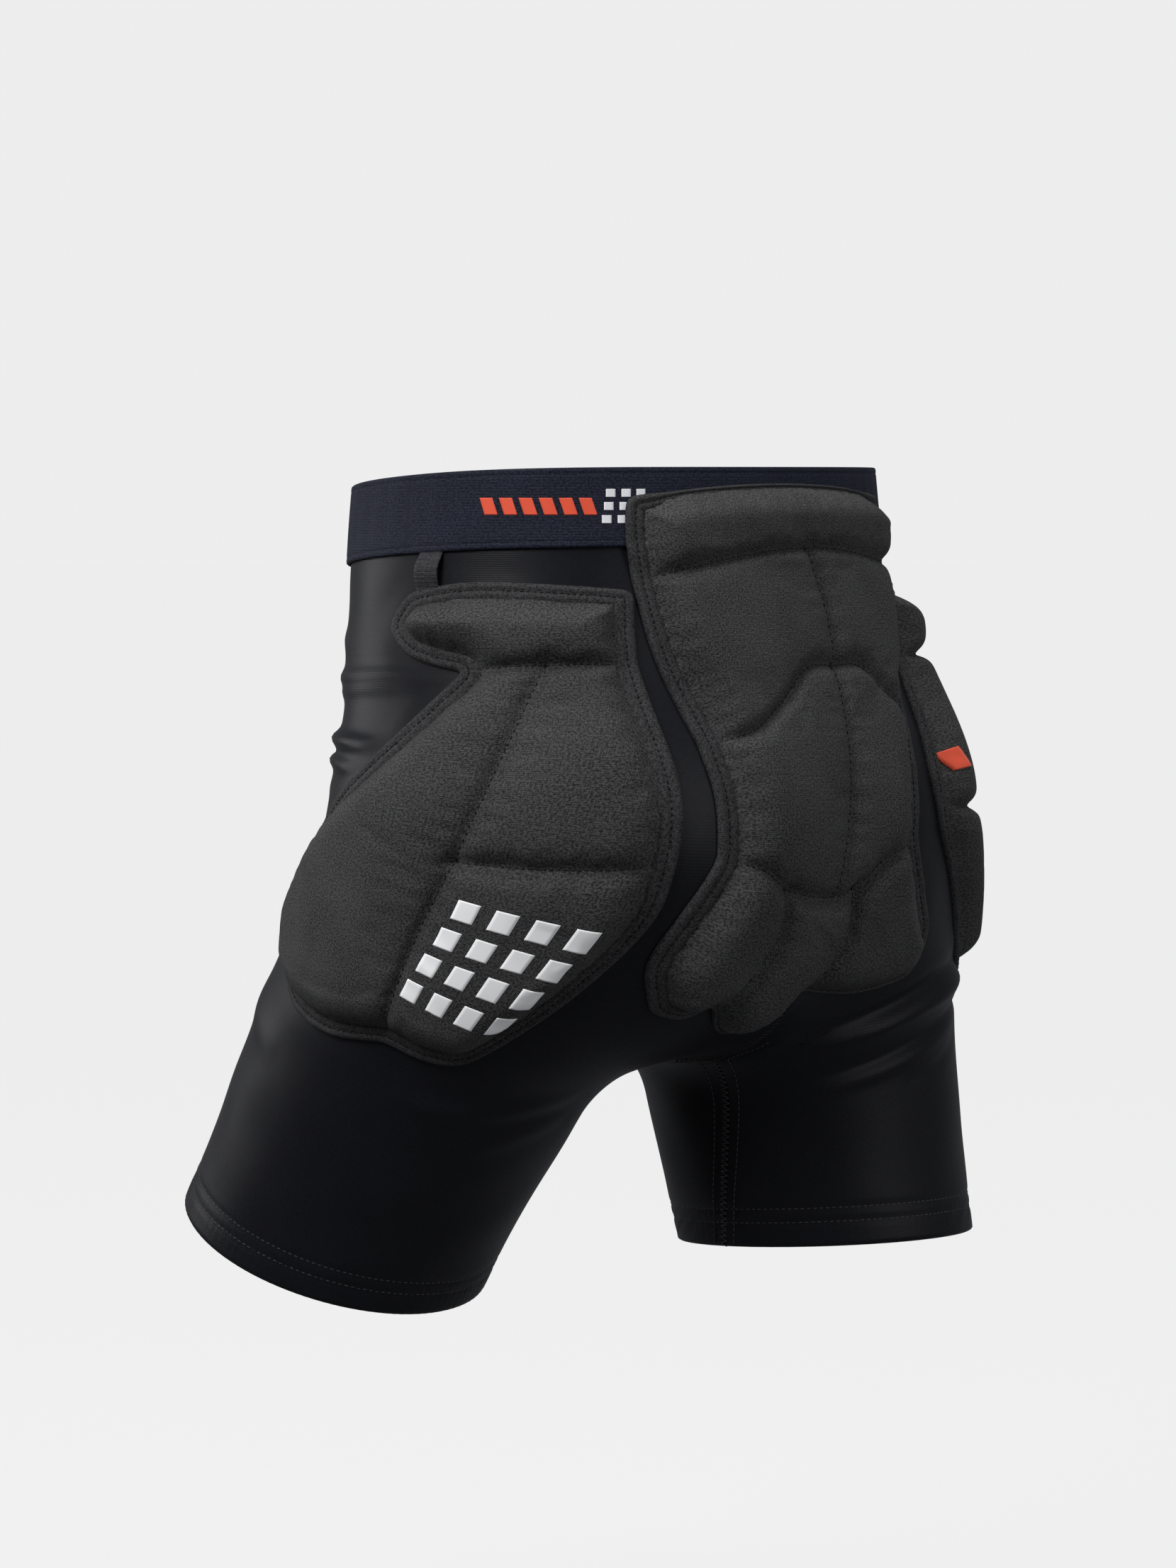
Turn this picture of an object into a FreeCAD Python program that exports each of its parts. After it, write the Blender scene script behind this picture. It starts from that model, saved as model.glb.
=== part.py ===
"""Padded impact shorts, as worn: elastic waistband, two stretch panels, two hinged leg sleeves with
turned hems, and quilted foam pads over both hips and the seat.

Millimetres.  +Z is up, -Y is the wearer's front and +X is the wearer's left.  The origin is the centre
of the waist opening, level with the top of the waistband at the back.

Every cloth piece lies on one body form, a smooth blend of a trunk, two buttocks and two thighs.  Points
on it are found from pattern coordinates: s runs round the body, t runs down it, and h is the height
above the skin.
"""
import FreeCAD, Part
import os
from functools import lru_cache
from math import cos, hypot, pi, radians, sin, sqrt

# ---------------------------------------------------------------- driving dimensions: the body form
WAIST_HALF, HIP_HALF = 144, 166     # half widths at the waist and over the hips
# height, half width, depth to the front, depth to the back
TRUNK = ((30, WAIST_HALF - 1, 106, 108), (0, WAIST_HALF, 107, 110), (-40, WAIST_HALF + 4, 108, 114),
         (-100, HIP_HALF - 9, 102, 128), (-165, HIP_HALF, 92, 142), (-220, HIP_HALF - 2, 88, 140),
         (-330, HIP_HALF - 16, 80, 110))
TRUNK_POWER = 2.3           # squareness of the trunk's section
FORK = -302                 # height of the crotch
FORK_BLEND = 60
HIP = (88, 15, -190)        # left hip joint; the right one mirrors it
# distance down the thigh, half width, half depth, shift to the back
THIGH = ((-150, 78, 84, 0), (0, 84, 90, 6), (60, 86, 91, 8), (130, 83.5, 84, 3), (222, 78, 78, 0),
         (400, 78, 78, 0))
THIGH_DOME = 95             # rounding of the thigh's top inside the trunk
THIGH_SKEW = 0.05
THIGH_SHIFT = {1: -4, -1: 3}
LEG_FLEX = {1: 27.0, -1: -9.0}      # degrees forward of hanging straight, as the shorts are worn
LEG_SPREAD = 5.0
BUTTOCK = (68, 66, -185)
BUTTOCK_RADII = (72, 74, 78)
BUTTOCK_BLEND, LEG_BLEND, LEGS_BLEND = 25, 30, 12

# ---------------------------------------------------------------- driving dimensions: the cloth
FABRIC = 1.2                # thickness of the stretch fabric
BAND_HEIGHT, BAND_THICK = 40, 2.2
BAND_DROP, BAND_BACK, BAND_DEPTH = 16, 112, 224     # the front of the band sits lower by this, over this depth
TUCK = 8                    # panel fabric sewn up behind the band
SEAM_GAP = 0.25             # half width of the slit at a sewn edge
LAYER_GAP = 0.2             # clearance between layers of cloth
HINGE_RADIUS = 152          # the leg sleeves begin here, measured from the hip joints' axis
HINGE_GAP = 3               # clearance between the panels and the sleeves over the whole swing
HEM_HEIGHT = 19
LEG_LENGTH = 229            # hip joint to leg opening, down the thigh
LEG_DRAW = {1: 11, -1: -11}     # the forward leg's fabric is drawn down by this, the other's up
HEM_TILT = {1: (24.5, -2.0), -1: (-3.0, 0.0)}   # degrees forward and outward

# ---------------------------------------------------------------- driving dimensions: the pads
PAD_LIFT = FABRIC + 0.5     # underside of the pads above the skin
PAD_THICK = 15.5            # crown of a padded block above its underside
COVER = 1.0                 # face fabric
FOAM_GAP = 0.3              # between the foam and the face fabric
SHOULDER = 13               # distance in which a block rises to its crown
BINDING_WIDTH, BINDING_THICK = 9, 2.2
RIM = BINDING_WIDTH + 0.9   # from the outline to the face fabric and foam
RIM_PACK = 0.1              # points pushed in to the rim keep this share of their spacing
BLOCK_ROWS = 14             # rows and columns of each block's net
EDGE_LIFT = 1.4             # face fabric's height where it is stitched down
BAND_STEP, BAND_RAMP = 2, 14    # the seat pad comes off the waistband this far below it, over this length
LOOP_WIDTH, LOOP_THICK, LOOP_BOW = 11, 1.6, 3
LOOP_CLEAR = 0.6            # from the waistband to the loop, and half of the gap to the pad
LOOP_AT = 12                # where the hanger loop sits round the hip, in pattern s
PRINT_THICK, PRINT_CLEAR = 0.25, 0.15
MARKS, MARK_SIZE, MARK_PITCH, MARK_SHIFT = 4, 9, (15, 14), 1.5      # rows and columns of printed squares
MARK_START = (57, 206)
LABEL, LABEL_AT = (9, 12, 0.8), (98, 152)   # width, length and thickness; pattern place

# ---------------------------------------------------------------- pattern layout
ROUND = 115.0               # pattern millimetres per radian round the hip
SPINE = (120.0, 300.0)      # the pattern's spine turns from the trunk into the thigh between these
SPINE_HIP = 190.0           # pattern length at the hip joint
SEAT_ROUND = 125.0          # pattern millimetres per radian round the seat, both ways
SEAT_CENTRE = (10.0, 185.0)     # the seat's rows fan about this depth and pattern length
PROBE, PROBE_END = 0.06, 1.28 * pi      # angular steps in search of the middle plane
FORK_ROWS, FORK_EASE = 24, 130.0    # rows that trace the middle seams; the inseam turns inward over this length
BINDING_STEP = 4.5          # spacing of the points along a pad's binding
NAMES = {1: "left", -1: "right"}

# Hip pad, drawn for the left side and mirrored: (s, t) points along each edge
STRIP_TOP = ((4, 64), (30, 59), (62, 60), (94, 63))
STRIP_FRONT = ((4, 64), (-4, 80), (5, 93), (20, 99))
STRIP_SEAM = ((20, 99), (33, 102), (62, 100), (95, 99))
STRIP_REAR = ((94, 63), (94, 81), (95, 99))
FRONT_TOP = ((33, 102), (62, 100))
FRONT_EDGE = ((33, 102), (8, 136), (-24, 180), (-50, 225), (-62, 256), (-52, 289))
SLANT_UPPER = ((62, 100), (54, 138), (48, 192))
SLANT_LOWER = ((48, 192), (46, 230), (51, 287))
FRONT_HEM = ((-52, 289), (-28, 300), (10, 300), (51, 287))
REAR_TOP = ((62, 100), (95, 99))
REAR_UPPER_EDGE = ((95, 99), (103, 129), (118, 163), (124, 182))
CROSS_SEAM = ((48, 192), (85, 188), (124, 182))
REAR_LOWER_EDGE = ((124, 182), (129, 203), (123, 236), (112, 265))
REAR_HEM = ((51, 287), (82, 286), (102, 280), (112, 265))

# Seat pad, (s, t) from the middle of the back, + to the wearer's left
SEAT_TOP = ((-103, 16), (-60, 11), (0, 9), (60, 11), (103, 16))
BAND_SEAM = ((-99, 54), (-52, 46), (-9, 43), (50, 48), (99, 58))
BAND_EDGE_L, BAND_EDGE_R = ((103, 16), (103, 36), (99, 58)), ((-103, 16), (-103, 36), (-99, 54))
UPPER_SPINE, LOWER_SPINE = ((-9, 43), (-15, 75), (-15, 104)), ((-15, 104), (-12, 150), (-2, 214))
UPPER_EDGE_L, UPPER_EDGE_R = ((99, 58), (89, 95), (71, 139)), ((-99, 54), (-88, 95), (-71, 134))
WAVE_L = ((-15, 104), (6, 104), (28, 121), (50, 136), (71, 139))
WAVE_R = ((-15, 104), (-36, 104), (-52, 119), (-71, 134))
MIDDLE_EDGE_L, MIDDLE_EDGE_R = ((71, 139), (65, 165), (64, 194)), ((-71, 134), (-64, 160), (-60, 190))
SCOOP_L = ((-2, 214), (30, 209), (47, 199), (64, 194))
SCOOP_R = ((-2, 214), (-18, 210), (-36, 197), (-60, 190))
TAIL_TOP = ((-18, 210), (-2, 214), (30, 209))
LOBE_TOP_L, LOBE_TOP_R = ((30, 209), (47, 199), (64, 194)), ((-18, 210), (-36, 197), (-60, 190))
DIVIDER_L, DIVIDER_R = ((30, 209), (33, 235), (48, 266)), ((-18, 210), (-14, 232), (1, 259))
LOBE_EDGE_L = ((64, 194), (78, 225), (84, 252), (74, 275))
LOBE_EDGE_R = ((-60, 190), (-68, 215), (-74, 238), (-64, 256))
LOBE_HEM_L, LOBE_HEM_R = ((48, 266), (60, 276), (74, 275)), ((1, 259), (-35, 263), (-64, 256))
TAIL_HEM = ((1, 259), (16, 277), (36, 282), (48, 266))


# ---------------------------------------------------------------- body form
def smooth_min(a, b, k):
    h = min(1.0, max(0.0, 0.5 + 0.5 * (b - a) / k))
    return b * (1 - h) + a * h - k * h * (1 - h)


def smooth_step(x):
    x = min(1.0, max(0.0, x))
    return x * x * (3 - 2 * x)


def stations(table):
    """The table's rows in rising order, each with the slope of the smooth curve through them."""
    rows = sorted(table)
    slopes = []
    for i, _ in enumerate(rows):
        low, high = rows[max(i - 1, 0)], rows[min(i + 1, len(rows) - 1)]
        slopes.append([(b - a) / (high[0] - low[0]) for a, b in zip(low[1:], high[1:])])
    return rows, slopes


def section(curve, at):
    rows, slopes = curve
    at = min(rows[-1][0], max(rows[0][0], at))
    i = 0
    while i < len(rows) - 2 and at > rows[i + 1][0]:
        i += 1
    span = rows[i + 1][0] - rows[i][0]
    u = (at - rows[i][0]) / span
    a, b = 2 * u ** 3 - 3 * u * u + 1, (u ** 3 - 2 * u * u + u) * span
    c, d = -2 * u ** 3 + 3 * u * u, (u ** 3 - u * u) * span
    return [a * p + b * m + c * q + d * n
            for p, m, q, n in zip(rows[i][1:], slopes[i], rows[i + 1][1:], slopes[i + 1])]


TRUNK_CURVE, THIGH_CURVE = stations(TRUNK), stations(THIGH)


def leg_axes(side):
    """Unit vectors down the thigh, outward and to the back."""
    b, g = radians(LEG_FLEX[side]), radians(LEG_SPREAD)
    down = (side * sin(g), -sin(b) * cos(g), -cos(b) * cos(g))
    out = (side * cos(g), sin(b) * sin(g), cos(b) * sin(g))
    back = cross(down, out)
    if back[1] < 0:
        back = tuple(-c for c in back)
    return down, out, back


def cross(a, b):
    return (a[1] * b[2] - a[2] * b[1], a[2] * b[0] - a[0] * b[2], a[0] * b[1] - a[1] * b[0])


def dot(a, b):
    return a[0] * b[0] + a[1] * b[1] + a[2] * b[2]


def along(p, d, k):
    return (p[0] + d[0] * k, p[1] + d[1] * k, p[2] + d[2] * k)


def unit(v):
    n = sqrt(dot(v, v))
    return (v[0] / n, v[1] / n, v[2] / n)


LEG_AXES = {side: leg_axes(side) for side in NAMES}


def trunk_field(x, y, z):
    width, front, back = section(TRUNK_CURVE, z)
    depth = front if y < 0 else back
    q = ((abs(x) / width) ** TRUNK_POWER + (abs(y) / depth) ** TRUNK_POWER) ** (1 / TRUNK_POWER)
    d = -100.0 if q < 0.05 else hypot(x, y) * (1 - 1 / q)
    return -smooth_min(-d, z - FORK, FORK_BLEND)


def thigh_field(x, y, z, side):
    down, out, back = LEG_AXES[side]
    d = (x - side * HIP[0], y - HIP[1], z - HIP[2])
    w = dot(d, down)
    width, depth, shift = section(THIGH_CURVE, w)
    u, v, w = dot(d, out), dot(d, back) - shift - THIGH_SHIFT[side], min(w, 0.0)
    skew = 2 * THIGH_SKEW * u * v / (width * depth)
    q = sqrt((u / width) ** 2 + (v / depth) ** 2 + skew + (w / THIGH_DOME) ** 2)
    return -80.0 if q < 0.05 else sqrt(u * u + v * v + w * w) * (1 - 1 / q)


def buttock_field(x, y, z, side):
    d = (x - side * BUTTOCK[0], y - BUTTOCK[1], z - BUTTOCK[2])
    q = sqrt(sum((c / r) ** 2 for c, r in zip(d, BUTTOCK_RADII)))
    return -70.0 if q < 0.05 else sqrt(dot(d, d)) * (1 - 1 / q)


def body_field(p):
    """Negative inside the body, about the distance outside it."""
    x, y, z = p
    d = trunk_field(x, y, z)
    for side in NAMES:
        d = smooth_min(d, buttock_field(x, y, z, side), BUTTOCK_BLEND)
    legs = smooth_min(thigh_field(x, y, z, 1), thigh_field(x, y, z, -1), LEGS_BLEND)
    return smooth_min(d, legs, LEG_BLEND)


def skin(start, direction):
    """The first point where a ray from inside the body leaves it."""
    distance = 0.0
    for _ in range(80):
        depth = -body_field(along(start, direction, distance))
        if abs(depth) < 0.01:
            break
        distance += 0.8 * depth
    return along(start, direction, distance)


@lru_cache(maxsize=None)
def normal_at(p):
    """The skin's outward normal at the skin point p."""
    e, f = 0.4, body_field(p)
    return unit(tuple(body_field(along(p, axis, e)) - f for axis in ((1, 0, 0), (0, 1, 0), (0, 0, 1))))


# ---------------------------------------------------------------- pattern coordinates
def hip_frame(side, t):
    """The spine's point at pattern length t, with unit vectors outward and to the back."""
    start, end = SPINE
    down = LEG_AXES[side][0]
    low = along((side * HIP[0], HIP[1], HIP[2]), down, end - SPINE_HIP)
    if t < start:
        centre = (0, 0, -t)
    elif t > end:
        centre = along(low, down, t - end)
    else:
        u, span = (t - start) / (end - start), end - start
        a, b = 2 * u ** 3 - 3 * u * u + 1, (u ** 3 - 2 * u * u + u) * span
        c, d = -2 * u ** 3 + 3 * u * u, (u ** 3 - u * u) * span
        centre = (c * low[0] + d * down[0], c * low[1] + d * down[1], -a * start - b + c * low[2] + d * down[2])
    w = smooth_step((t - start) / (end - start))
    normal = unit((w * down[0], w * down[1], w * down[2] - (1 - w)))
    out = unit(along((side, 0, 0), normal, -side * normal[0]))
    back = cross(normal, out)
    if back[1] < 0:
        back = tuple(-c for c in back)
    return centre, out, back


@lru_cache(maxsize=None)
def hip_skin(side, angle, t):
    centre, out, back = hip_frame(side, t)
    return skin(centre, along(tuple(c * cos(angle) for c in out), back, sin(angle)))


def hip_point(side, s, t, height):
    p = hip_skin(side, s / ROUND, t)
    return along(p, normal_at(p), height)


@lru_cache(maxsize=None)
def seat_skin(s, t):
    depth, level = SEAT_CENTRE
    tilt = max(0.0, (t - level) / SEAT_ROUND)
    angle = s / SEAT_ROUND
    direction = (sin(angle), cos(angle) * cos(tilt), -cos(angle) * sin(tilt))
    return skin((0, depth, -min(t, level)), direction)


def seat_point(s, t, height):
    """Over the waistband the seat pad is lifted clear of it."""
    p = seat_skin(s, t)
    over_band = (BAND_THICK + LAYER_GAP) * (1 - smooth_step((t - BAND_HEIGHT - BAND_STEP) / BAND_RAMP))
    return along(p, normal_at(p), height + over_band)


# ---------------------------------------------------------------- solids from nets of points
def net_face(grid):
    """A smooth face whose control points are the grid."""
    data = []
    for count in (len(grid), len(grid[0])):
        degree = min(3, count - 1)
        knots = [float(k) for k in range(count - degree + 1)]
        data.append((degree, knots, [degree + 1] + [1] * (len(knots) - 2) + [degree + 1]))
    (du, ku, mu), (dv, kv, mv) = data
    surface = Part.BSplineSurface()
    poles = [[FreeCAD.Vector(*p) for p in row] for row in grid]
    surface.buildFromPolesMultsKnots(poles, mu, mv, ku, kv, False, False, du, dv)
    return surface.toShape()


def net_solid(low, high):
    """The solid between two grids of points with the same counts."""
    faces = [net_face(low), net_face(high)]
    for pick in (lambda g: g[0], lambda g: g[-1], lambda g: [r[0] for r in g], lambda g: [r[-1] for r in g]):
        faces.append(net_face([pick(low), pick(high)]))
    shell = Part.Shell(faces)
    shell.sewShape(1e-4)
    solid = Part.Solid(Part.Shell(shell.Faces))
    if solid.Volume < 0:
        solid.reverse()
    return solid


def layer(place, low, high, rows, columns):
    """A solid layer: place(u, v, height) for u and v from 0 to 1, between heights low and high."""
    grids = []
    for height in (low, high):
        grids.append([[place(i / columns, j / rows, height) for j in range(rows + 1)] for i in range(columns + 1)])
    return net_solid(*grids)


def smooth_path(points):
    """A function of 0..1 along a smooth curve through the points, even in chord length."""
    lengths = [0.0]
    for a, b in zip(points, points[1:]):
        lengths.append(lengths[-1] + hypot(b[0] - a[0], b[1] - a[1]))
    curve = stations([(d, p[0], p[1]) for d, p in zip(lengths, points)])
    return lambda u: tuple(section(curve, u * lengths[-1]))


def patch(top, bottom, left, right):
    """A function of (u, v) filling the four edges: u from left to right, v from top to bottom."""
    top, bottom, left, right = (smooth_path(e) for e in (top, bottom, left, right))

    def at(u, v):
        a, b, c, d = top(u), bottom(u), left(v), right(v)
        corners = (top(0), top(1), bottom(0), bottom(1))
        return tuple((1 - v) * a[k] + v * b[k] + (1 - u) * c[k] + u * d[k]
                     - (1 - u) * (1 - v) * corners[0][k] - u * (1 - v) * corners[1][k]
                     - (1 - u) * v * corners[2][k] - u * v * corners[3][k] for k in (0, 1))
    return at


# ---------------------------------------------------------------- waistband, panels, sleeves, hems
def edge_angles(side, t):
    """Angles where the row at t meets the middle plane, front and back, or None where it is below the crotch."""
    found = []
    for turn in (-1, 1):
        inside = turn * pi / 2
        if t <= SPINE[0]:
            found.append(inside)
            continue
        outside = inside
        while side * hip_skin(side, outside, t)[0] > 0:
            inside = outside
            outside += turn * PROBE
            if abs(outside) > PROBE_END:
                return None
        for _ in range(12):
            middle = (inside + outside) / 2
            if side * hip_skin(side, middle, t)[0] > 0:
                inside = middle
            else:
                outside = middle
        found.append(inside)
    return found


def leg_angles(side):
    """A function giving the first and last angle of each row: the front and back middle seams, then the inseam."""
    low, high = SPINE[0], SPINE[1] + 60
    while high - low > 0.1:
        middle = (low + high) / 2
        low, high = (middle, high) if edge_angles(side, middle) else (low, middle)
    start, fork = SPINE[0], low
    rows = [edge_angles(side, fork - (fork - start) * (1 - k / FORK_ROWS) ** 2) for k in range(FORK_ROWS + 1)]
    lean = (rows[-1][0] + rows[-1][1]) / 2

    def at(t):
        if t >= fork:
            centre = lean * (1 - smooth_step((t - fork) / FORK_EASE))
            return centre - pi, centre + pi
        k = FORK_ROWS * (1 - sqrt((fork - max(t, start)) / (fork - start)))
        i = min(int(k), FORK_ROWS - 1)
        return tuple(a + (b - a) * (k - i) for a, b in zip(rows[i], rows[i + 1]))
    return at


def row_angle(angles, u, t):
    """The angle at a fraction u of the row, kept clear of the sewn edges."""
    first, last = angles(t)
    slit = SEAM_GAP / THIGH[1][1]
    return first + slit + u * (last - first - 2 * slit)


def reach(side, angles, u, test):
    """Pattern length, on the column u, where the test of a skin point turns positive."""
    low, high = SPINE[0], SPINE[1] + 2 * SPINE_HIP
    while high - low > 0.05:
        middle = (low + high) / 2
        if test(hip_skin(side, row_angle(angles, u, middle), middle)) > 0:
            high = middle
        else:
            low = middle
    return low


def beyond_hinge(radius):
    """Positive below the hip joints and further than the radius from their axis."""
    return lambda p: hypot(p[1] - HIP[1], min(0.0, p[2] - HIP[2])) - radius if p[2] < HIP[2] else -radius


def beyond_hem(side):
    """Positive past the leg opening's plane."""
    forward, outward = (radians(a) for a in HEM_TILT[side])
    down = (side * sin(outward), -sin(forward) * cos(outward), -cos(forward) * cos(outward))
    centre = along((side * HIP[0], HIP[1], HIP[2]), LEG_AXES[side][0], LEG_LENGTH + LEG_DRAW[side])
    return lambda p: dot(along(p, centre, -1), down)


def band_top(angle):
    """Pattern length of the waistband's top edge."""
    y = hip_skin(1, angle, 0.0)[1]
    return BAND_DROP * ((BAND_BACK - y) / BAND_DEPTH) ** 2


def waistband():
    slit = SEAM_GAP / BAND_BACK

    def place(u, v, height):
        angle = pi / 2 + slit + u * (2 * pi - 2 * slit)
        return hip_point(1, angle * ROUND, band_top(angle) + v * BAND_HEIGHT, height)
    low = FABRIC + LAYER_GAP
    return layer(place, low, low + BAND_THICK, rows=3, columns=90)


def cloth_tube(side, angles, start, end, low, columns, rows, crowding):
    """Fabric between two edges, each a function of u giving pattern length; rows crowd towards the end."""
    edges = {}
    for i in range(columns + 1):
        u = i / columns
        edges[u] = (start(u), end(u))

    def place(u, v, height):
        first, last = edges[u]
        t = first + (last - first) * ((1 + crowding) * v - crowding * v ** 3)
        return hip_point(side, row_angle(angles, u, t) * ROUND, t, height)
    return layer(place, low, low + FABRIC, rows, columns)


def leg_pieces(side):
    name, angles = NAMES[side], leg_angles(side)

    def tuck(u):
        first, last = angles(0.0)
        angle = first + u * (last - first)
        return band_top(angle if side > 0 else pi - angle) + BAND_HEIGHT - TUCK

    def cut(radius):
        return lambda u: reach(side, angles, u, beyond_hinge(radius))

    def hem(u):
        return reach(side, angles, u, beyond_hem(side))
    yield name + "_panel", cloth_tube(side, angles, tuck, cut(HINGE_RADIUS), 0.0, 40, 32, 0.3)
    yield name + "_leg_sleeve", cloth_tube(side, angles, cut(HINGE_RADIUS + HINGE_GAP), hem, 0.0, 36, 6, 0.0)
    inner = -FABRIC - LAYER_GAP
    yield name + "_hem", cloth_tube(side, angles, lambda u: hem(u) - HEM_HEIGHT, hem, inner, 36, 3, 0.0)


# ---------------------------------------------------------------- pads
def width_between(edge, other, at):
    """Distance from one edge to the other, measured square to the first."""
    p, q = edge(at), other(at)
    a, b = edge(max(0.0, at - 0.03)), edge(min(1.0, at + 0.03))
    length = hypot(b[0] - a[0], b[1] - a[1])
    area = abs((q[0] - p[0]) * (b[1] - a[1]) - (q[1] - p[1]) * (b[0] - a[0]))
    return max(area / length, 0.4 * hypot(q[0] - p[0], q[1] - p[1]))


class Block:
    """One padded block: four pattern edges, those named in bound carrying the binding, inside the pad's outline."""

    def __init__(self, place, top, bottom, left, right, bound, outline):
        self.place, self.at = place, patch(top, bottom, left, right)
        self.edges = dict(zip("TBLR", (smooth_path(e) for e in (top, bottom, left, right))))
        self.bound, self.outline, self.net = bound, outline, {}

    def limits(self, first, other, at):
        """For both ends of a line across the block: the inset as a fraction, the width, and the distance at the edge."""
        ends = []
        for edge, far in ((first, other), (other, first)):
            width = width_between(self.edges[edge], self.edges[far], at)
            inset = RIM if edge in self.bound else SEAM_GAP
            ends.append((inset / width, width, SHOULDER if edge in self.bound else -SEAM_GAP))
        return ends

    def spread(self, u, v):
        """Pattern point at u, v of the block drawn in from its edges, and how far it has risen to its crown."""
        if (u, v) not in self.net:
            (left, wl, sl), (right, wr, sr) = self.limits("L", "R", ease(v))
            (top, wt, st), (bottom, wb, sb) = self.limits("T", "B", ease(u))
            x = left + ease(u) * (1 - left - right)
            y = top + ease(v) * (1 - top - bottom)
            across = min(x * wl + sl, (1 - x) * wr + sr)
            downward = min(y * wt + st, (1 - y) * wb + sb)
            s, t, rim = clear_of(self.outline, self.at(x, y))
            self.net[u, v] = s, t, shoulder(across) * shoulder(downward) * shoulder(rim)
        return self.net[u, v]

    def cover(self):
        def place(u, v, height):
            s, t, rise = self.spread(u, v)
            return self.place(s, t, PAD_LIFT + EDGE_LIFT + (PAD_THICK - EDGE_LIFT) * rise + height)
        return layer(place, 0.0, COVER, BLOCK_ROWS, BLOCK_ROWS)

    def foam(self):
        def place(u, v, height):
            s, t, rise = self.spread(u, v)
            top = EDGE_LIFT + (PAD_THICK - EDGE_LIFT) * rise - FOAM_GAP
            return self.place(s, t, PAD_LIFT + height * top)
        return layer(place, 0.0, 1.0, BLOCK_ROWS, BLOCK_ROWS)


def clear_of(outline, point):
    """The pattern point moved in from the outline until it clears the binding, and its distance beyond that."""
    found = None
    for (ax, ay), (bx, by) in zip(outline, outline[1:] + outline[:1]):
        dx, dy = bx - ax, by - ay
        k = min(1.0, max(0.0, ((point[0] - ax) * dx + (point[1] - ay) * dy) / (dx * dx + dy * dy)))
        x, y = point[0] - ax - k * dx, point[1] - ay - k * dy
        gap = hypot(x, y)
        if found is None or gap < found[0]:
            found = gap, x / gap, y / gap
    gap, x, y = found
    push = max(0.0, RIM - (1 - RIM_PACK) * gap)
    return point[0] + x * push, point[1] + y * push, gap + push - RIM


def shoulder(distance):
    x = min(1.0, max(0.0, distance / SHOULDER))
    return sqrt(1 - (1 - x) ** 2)


def ease(x):
    """Crowds points towards both ends of 0..1."""
    return 0.55 * smooth_step(x) + 0.45 * x


def chain(*edges):
    """Points along the edges in turn, a few millimetres apart; an edge in a tuple with -1 runs backwards."""
    points = []
    for edge in edges:
        back = edge[-1] == -1
        path = smooth_path(edge[0] if back else edge)
        count = max(2, round(sum(hypot(b[0] - a[0], b[1] - a[1]) for a, b in zip(
            (edge[0] if back else edge), (edge[0] if back else edge)[1:])) / BINDING_STEP))
        points += [path(1 - i / count if back else i / count) for i in range(count)]
    return points


def binding(place, outline):
    """Tape folded over the pad's edge: a strip just inside a closed outline, its ends butted together."""
    count, rows = len(outline), []
    area = sum(a[0] * b[1] - b[0] * a[1] for a, b in zip(outline, outline[1:] + outline[:1]))
    turn = 1 if area > 0 else -1
    for i in range(count):
        before, here, after = outline[i - 1], outline[i], outline[(i + 1) % count]
        a = unit((here[0] - before[0], here[1] - before[1], 0))
        b = unit((after[0] - here[0], after[1] - here[1], 0))
        n = unit((-turn * (a[1] + b[1]), turn * (a[0] + b[0]), 0))
        juts_in = turn * (a[0] * b[1] - a[1] * b[0]) < 0
        square = 1.0 if juts_in else max(0.7, n[0] * -turn * a[1] + n[1] * turn * a[0])
        rows.append((here, (here[0] + n[0] * BINDING_WIDTH / square, here[1] + n[1] * BINDING_WIDTH / square)))
    close = SEAM_GAP / BINDING_STEP
    rows.append(tuple(tuple(p + (q - p) * (1 - 2 * close) for p, q in zip(last, first))
                      for last, first in zip(rows[-1], rows[0])))
    grids = [[[place(*p, height) for p in row] for row in rows] for height in (PAD_LIFT, PAD_LIFT + BINDING_THICK)]
    return net_solid(*grids)


def hip_pad(side):
    def place(s, t, height):
        return hip_point(side, s, t, height)
    outline = chain(STRIP_REAR, REAR_UPPER_EDGE, REAR_LOWER_EDGE, (REAR_HEM, -1), (FRONT_HEM, -1),
                    (FRONT_EDGE, -1), (STRIP_SEAM[:2], -1), (STRIP_FRONT, -1), STRIP_TOP)
    blocks = {
        "strip": (STRIP_TOP, STRIP_SEAM, STRIP_FRONT, STRIP_REAR, "TLR"),
        "front": (FRONT_TOP, FRONT_HEM, FRONT_EDGE, SLANT_UPPER + SLANT_LOWER[1:], "LB"),
        "rear_upper": (REAR_TOP, CROSS_SEAM, SLANT_UPPER, REAR_UPPER_EDGE, "R"),
        "rear_lower": (CROSS_SEAM, REAR_HEM, SLANT_LOWER, REAR_LOWER_EDGE, "BR"),
    }
    yield from pad_pieces(NAMES[side] + "_hip_pad", place, blocks, outline)


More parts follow.
